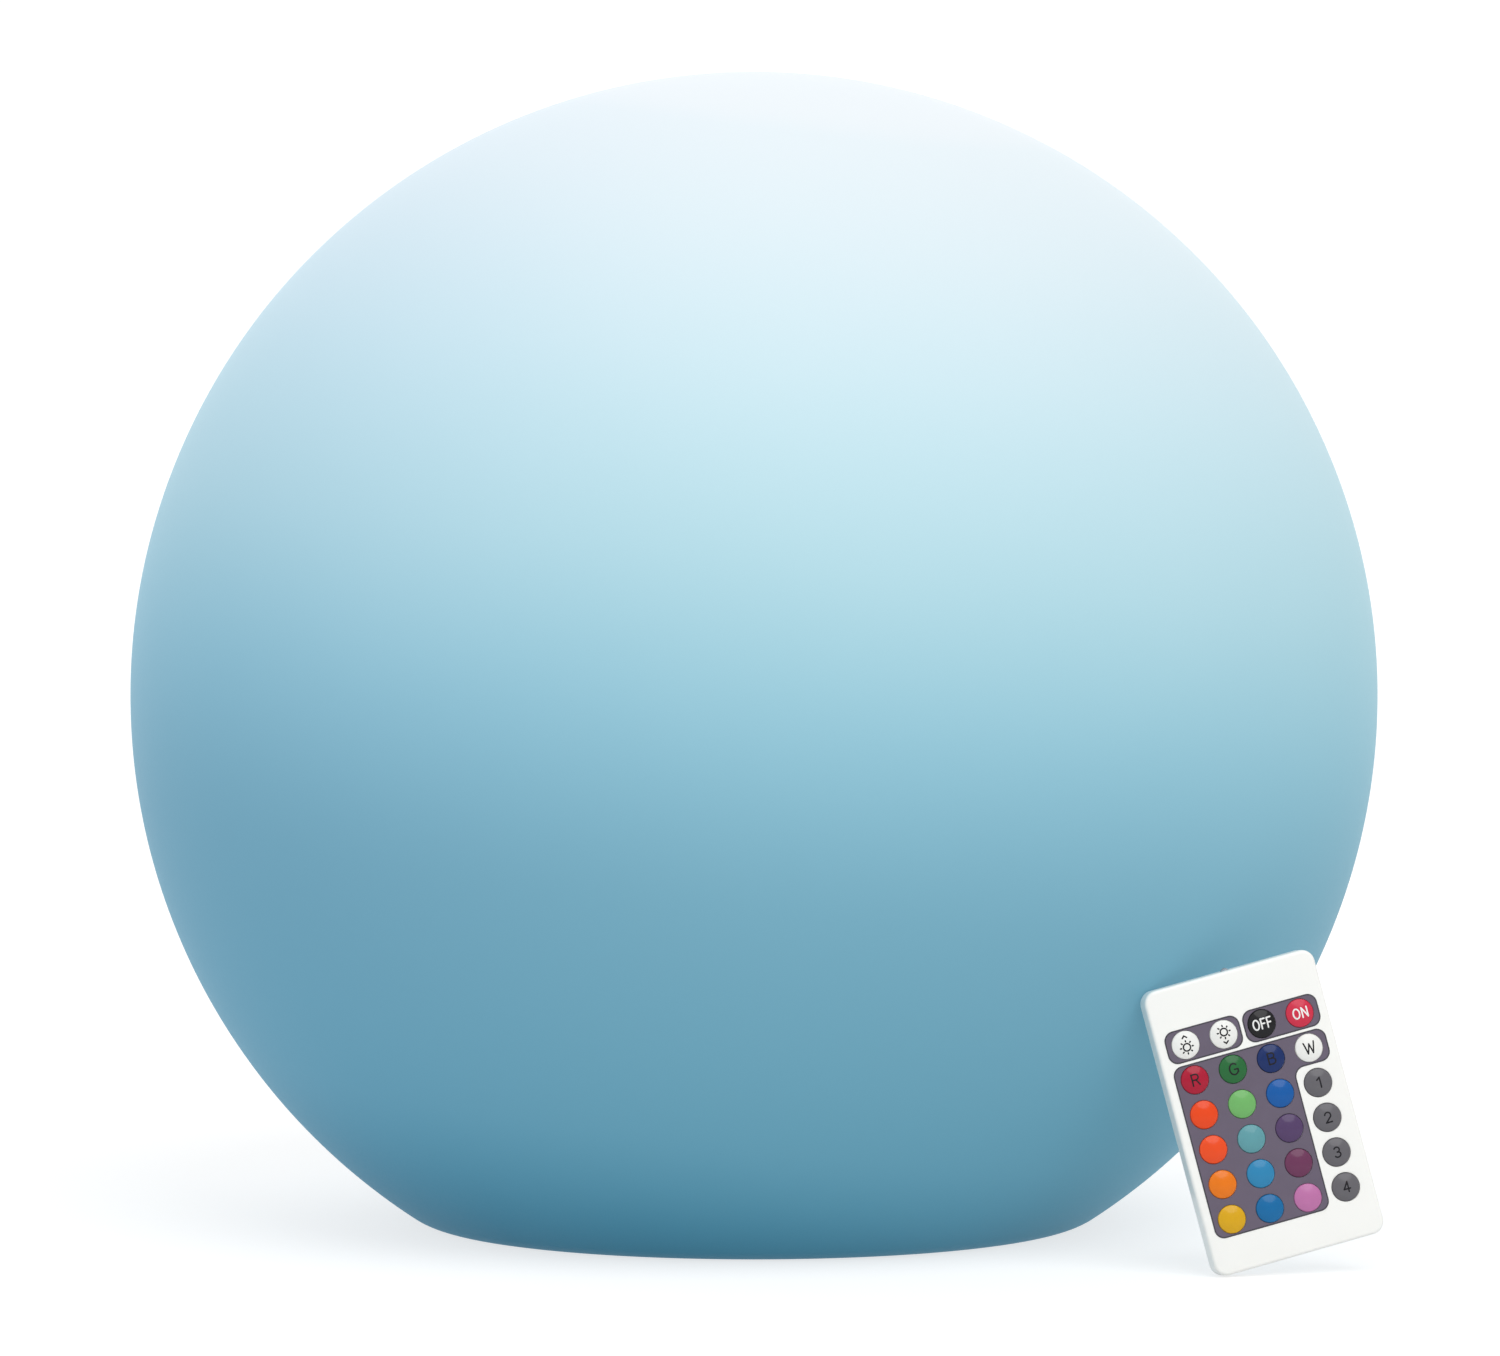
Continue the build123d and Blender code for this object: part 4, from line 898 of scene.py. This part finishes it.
def lettered(word):
    """Strokes of a word, set side by side and centred on the key."""
    strokes, pen = [], 0.0
    for letter in word:
        width, parts = SIGNS[letter]
        strokes += [part + (pen, -0.5) for part in parts]
        pen += width + LETTER_GAP
    return [stroke - ((pen - LETTER_GAP) / 2, 0) for stroke in strokes]


RIBBON_STEP = 0.09  # between the points along a line, in mm
# A line's section: places across it, as shares of its half width, and heights above the surface.
RIBBON_ACROSS = np.array([-1, -0.75, 0, 0.75, 1, 0.4, -0.4])
RIBBON_HEIGHT = np.array([-0.02, 0.025, 0.03, 0.025, -0.02, -0.06, -0.06])


def ribbon(stroke, width, height_at):
    """A flat, round-ended line laid over a surface. Points are spread evenly along the stroke and
    half a width past its ends, where the line narrows as the root of 1 minus the square of how far
    past they are. Its section is a low arch whose edges sink into the surface."""
    steps = np.linalg.norm(np.diff(stroke, axis=0), axis=1)
    run = np.concatenate([[0], np.cumsum(steps)])
    half = width / 2
    count = max(int((run[-1] + width) / RIBBON_STEP), 9)
    at = np.linspace(-half, run[-1] + half, count)
    start = (stroke[1] - stroke[0]) / steps[0]
    end = (stroke[-1] - stroke[-2]) / steps[-1]
    inside = np.clip(at, 0, run[-1])
    path = np.stack([np.interp(inside, run, stroke[:, axis]) for axis in (0, 1)], 1)
    path += np.minimum(at, 0)[:, None] * start + np.maximum(at - run[-1], 0)[:, None] * end
    past = np.maximum(-at, 0) + np.maximum(at - run[-1], 0)
    spread = half * np.sqrt(np.maximum(1 - (past / half) ** 2, 0))
    way = np.gradient(path, axis=0)
    way /= np.linalg.norm(way, axis=1, keepdims=True)
    aside = np.stack([-way[:, 1], way[:, 0]], 1)
    places = path[:, None] + aside[:, None] * (spread[:, None] * RIBBON_ACROSS)[..., None]
    height = height_at(places[..., 0], places[..., 1]) + RIBBON_HEIGHT
    return np.concatenate([places, height[..., None]], -1)


def on_dome(top, radius):
    """Height of a key's dome at a place: its middle's, which is a radius below the top, plus the
    root of the radius squared less x squared less y squared."""
    return lambda x, y: top - radius + np.sqrt(radius**2 - x * x - y * y)


def in_dish(face, depth, radius):
    """Height of a dish that is hollowed out of a face, whose middle is a radius above its floor."""
    return lambda x, y: face - depth + radius - np.sqrt(radius**2 - x * x - y * y)


BUTTON_DISH, BUTTON_DISH_RADIUS = 0.5, 32.0  # depth and radius of the power button's dish, in mm
POWER_RING = 2.9  # radius of the ring of the power sign
POWER_BAR = (1.2, 3.9)  # ends of its bar
POWER_STROKE = 0.7


class MakeSigns(bpy.types.Operator):
    """Print the signs on the keys and on the power button"""

    bl_idname = "globe_light.signs"
    bl_label = "Signs"

    def execute(self, context):
        """Each sign is laid over its key's dome. The power sign is a ring, open at the top, round a
        bar, laid in the button's dish and turned over, because the button faces down."""
        look = context.scene.globe_remote
        dome, width = key_dome(look), look.stroke / MM
        # Screen inks on rubber: flat colours, duller than the key under them.
        matt = {"grain": 0.3, "depth": 0.004, "specular_ior_level": 0.2}
        light = surfaced("light_ink", look.light, 0.55, **matt)
        dark = surfaced("dark_ink", look.dark, 0.55, **matt)
        grey = surfaced("grey_ink", "5d6266", 0.55, **matt)
        letter, number = (3.3, 3.3), (3.0, 3.0)  # width and height of one unit, in mm
        signs = {
            "key_brighter": (sun(1), (1, 1), dark),
            "key_dimmer": (sun(-1), (1, 1), dark),
            "key_off": (lettered("OFF"), (2.15, 2.9), light),
            "key_on": (lettered("ON"), (2.4, 2.9), light),
            "key_red": (lettered("R"), letter, dark),
            "key_green": (lettered("G"), letter, dark),
            "key_blue": (lettered("B"), letter, dark),
            "key_white": (lettered("W"), letter, dark),
            "key_mode_1": (lettered("1"), number, dark),
            "key_mode_2": (lettered("2"), number, dark),
            "key_mode_3": (lettered("3"), number, dark),
            "key_mode_4": (lettered("4"), number, dark),
        }
        for node, (strokes, scale, ink) in signs.items():
            surface = on_dome(KEY_SPANS[node][1, 2], dome)
            grids = [ribbon(stroke * scale, width, surface) for stroke in strokes]
            places = [[on_remote(grid + (*key_middle(node), 0))] for grid in grids]
            put(node + "_sign", mesh_of(node + "_sign", places), node, ink)

        surface = in_dish(-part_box("power_button")[0].z / MM, BUTTON_DISH, BUTTON_DISH_RADIUS)
        power = [bow(0, 0, POWER_RING, POWER_RING, 120, 420), line(*((0, y) for y in POWER_BAR))]
        grids = [[ribbon(stroke, POWER_STROKE, surface) * (1, -1, -1) * MM] for stroke in power]
        mesh = mesh_of("power_sign", grids)
        put("power_sign", mesh, "power_button", grey)
        return {"FINISHED"}


class MakeEmitter(bpy.types.Operator):
    """Make the infrared lamp at the remote's top end"""

    bl_idname = "globe_light.emitter"
    bl_label = "Infrared lamp"

    def execute(self, context):
        """A bullet turned about the remote's length: a barrel with a round nose."""
        span = remote_span("ir_emitter") - REMOTE_ORIGIN
        middle, nose = span.mean(0), span[1, 1]
        tail = span[0, 1] + 1  # inside the case, past the leads
        radius = 1.5
        bullet = [arc((0, nose - radius), radius, 90, 0, 10), [(radius, tail), (0, tail)]]
        x, y, z = np.moveaxis(turned(np.concatenate(bullet), segments=40), -1, 0)
        grid = np.stack([x + middle[0], z, y + middle[2]], -1)
        # Cast clear resin: glassy, with a faint violet tint.
        resin = {"transmission_weight": 0.6, "ior": 1.55, "mottle": 6.0}
        finish = polished("clear_resin", "cdd3dd", 0.08, **resin)
        mesh = mesh_of("infrared_lamp", [[on_remote(grid)]])
        put("infrared_lamp", mesh, "remote", finish, ["ir_emitter"])
        return {"FINISHED"}


# ---------------------------------------------------------------------------------------- stage

FLOOR_REACH = 60.0  # metres
FLOOR_GAP = 0.1 * MM  # keeps the floor's surface apart from the foot's
FLOOR_CAST = (0.8, 0.8, 0.8, 1)  # what the floor throws back on the object
# What the floor shows: a part of the light that falls on it, and an even white.
FLOOR_SHOWN, FLOOR_WHITE = (0.38, 0.38, 0.38, 1), 0.72
PICTURE_WIDTH = 1500  # pixels
# How far the ball's middle lies from the picture's.
CAMERA_SHIFT = (-4 / PICTURE_WIDTH, 17.3 / PICTURE_WIDTH)


def seen_directly(tree):
    """1 for rays that see a surface from the camera, in gloss or through glass, and 0 for light."""
    path = add(tree, "ShaderNodeLightPath").outputs
    either = {0: path["Is Camera Ray"], 1: path["Is Glossy Ray"]}
    mirrored = add(tree, "ShaderNodeMath", either, operation="MAXIMUM")
    through = {0: mirrored.outputs[0], 1: path["Is Transmission Ray"]}
    return add(tree, "ShaderNodeMath", through, operation="MAXIMUM").outputs[0]


class MakeStage(bpy.types.Operator):
    """Make the floor, the lamps, the room light and the camera"""

    bl_idname = "globe_light.stage"
    bl_label = "Stage"

    def execute(self, context):
        """A pale floor, one wide soft sun at the upper right, weaker ones at the left and behind,
        and even room light. Rays that see the floor or the room directly, or in gloss or glass, see
        them near white, with the shadow kept."""
        look = context.scene.globe_stage
        scene = context.scene
        floor = bpy.data.meshes.new("floor")
        corners = FLOOR_REACH * np.array([(-1, -1, 0), (1, -1, 0), (1, 1, 0), (-1, 1, 0)])
        floor.from_pydata(corners - (0, 0, FLOOR_GAP), [], [(0, 1, 2, 3)])
        thing = bpy.data.objects.new("floor", floor)
        scene.collection.objects.link(thing)

        made, tree, _ = blank("pale_floor")
        seen = seen_directly(tree)
        cast = add(tree, "ShaderNodeBsdfDiffuse", {"Color": FLOOR_CAST})
        weak = add(tree, "ShaderNodeBsdfDiffuse", {"Color": FLOOR_SHOWN})
        white = add(tree, "ShaderNodeEmission", {"Strength": FLOOR_WHITE})
        shown = add(tree, "ShaderNodeAddShader", {0: weak.outputs[0], 1: white.outputs[0]})
        choice = {0: seen, 1: cast.outputs[0], 2: shown.outputs[0]}
        mixed = add(tree, "ShaderNodeMixShader", choice)
        add(tree, "ShaderNodeOutputMaterial", {"Surface": mixed.outputs[0]})
        floor.materials.append(made)

        room = bpy.data.worlds.new("room")
        room.use_nodes = True
        tree = room.node_tree
        tree.nodes.clear()
        strength = {"Value": seen_directly(tree), "To Min": look.room, "To Max": 1.0}
        level = add(tree, "ShaderNodeMapRange", strength)
        sky = add(tree, "ShaderNodeBackground", {"Strength": level.outputs["Result"]})
        add(tree, "ShaderNodeOutputWorld", {"Surface": sky.outputs[0]})
        scene.world = room

        # Name, strength, and in degrees the bearing from the camera's side, height and spread.
        lamps = (
            ("key_lamp", look.key, 26, 48, 45),
            ("fill_lamp", look.fill, -55, 30, 90),
            ("back_lamp", look.back, 195, 42, 90),
        )
        for name, strength, bearing, height, spread in lamps:
            lamp = bpy.data.lights.new(name, "SUN")
            lamp.energy = strength
            lamp.angle = radians(spread)
            thing = bpy.data.objects.new(name, lamp)
            aside, up = radians(bearing), radians(height)
            way = Vector((sin(aside) * cos(up), -cos(aside) * cos(up), sin(up)))
            thing.rotation_euler = way.to_track_quat("Z", "Y").to_euler()
            scene.collection.objects.link(thing)

        camera = bpy.data.cameras.new("camera")
        camera.sensor_fit = "HORIZONTAL"
        camera.sensor_width = 36  # mm
        camera.lens = look.lens
        camera.shift_x, camera.shift_y = CAMERA_SHIFT
        camera.clip_end = 200  # metres, past the floor's corners
        thing = bpy.data.objects.new("camera", camera)
        up = look.elevation
        ahead = Vector((0, cos(up), -sin(up)))
        middle = Vector((0, 0, GLOBE_HIGH.z - (GLOBE_HIGH.x - GLOBE_LOW.x) / 2))
        thing.matrix_world = Matrix.Translation(middle - ahead * look.distance) @ (
            ahead.to_track_quat("-Z", "Y").to_matrix().to_4x4()
        )
        scene.collection.objects.link(thing)
        scene.camera = thing
        scene.view_settings.view_transform = "Standard"
        return {"FINISHED"}


# --------------------------------------------------------------------------------------- add-on

OPERATORS = (
    MakeStage,
    MakeBall,
    DressModule,
    MakeCase,
    MakePrint,
    MakeKeys,
    MakeSigns,
    MakeEmitter,
)
SETTINGS = {
    "globe_ball": BallSettings,
    "globe_remote": RemoteSettings,
    "globe_stage": StageSettings,
}


class GlobeLightPanel(bpy.types.Panel):
    """Lists the pieces and their settings"""

    bl_idname = "VIEW3D_PT_globe_light"
    bl_label = "Garden globe light"
    bl_space_type = "VIEW_3D"
    bl_region_type = "UI"
    bl_category = "Globe light"

    def draw(self, context):
        """A button for each operator, then a box for each group of settings."""
        for maker in OPERATORS:
            self.layout.operator(maker.bl_idname)
        for name, group in SETTINGS.items():
            box = self.layout.box()
            for setting in group.__annotations__:
                box.prop(getattr(context.scene, name), setting)


def register():
    """Make the classes known to Blender, and give every scene its settings."""
    for made in (*SETTINGS.values(), *OPERATORS, GlobeLightPanel):
        bpy.utils.register_class(made)
    for name, group in SETTINGS.items():
        setattr(bpy.types.Scene, name, PointerProperty(type=group))


def unregister():
    """Undo what register does."""
    for name in SETTINGS:
        delattr(bpy.types.Scene, name)
    for made in (GlobeLightPanel, *reversed(OPERATORS), *SETTINGS.values()):
        bpy.utils.unregister_class(made)


def main():
    """Register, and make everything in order."""
    register()
    for maker in OPERATORS:
        group, name = maker.bl_idname.split(".")
        getattr(getattr(bpy.ops, group), name)()


if __name__ == "__main__":
    main()
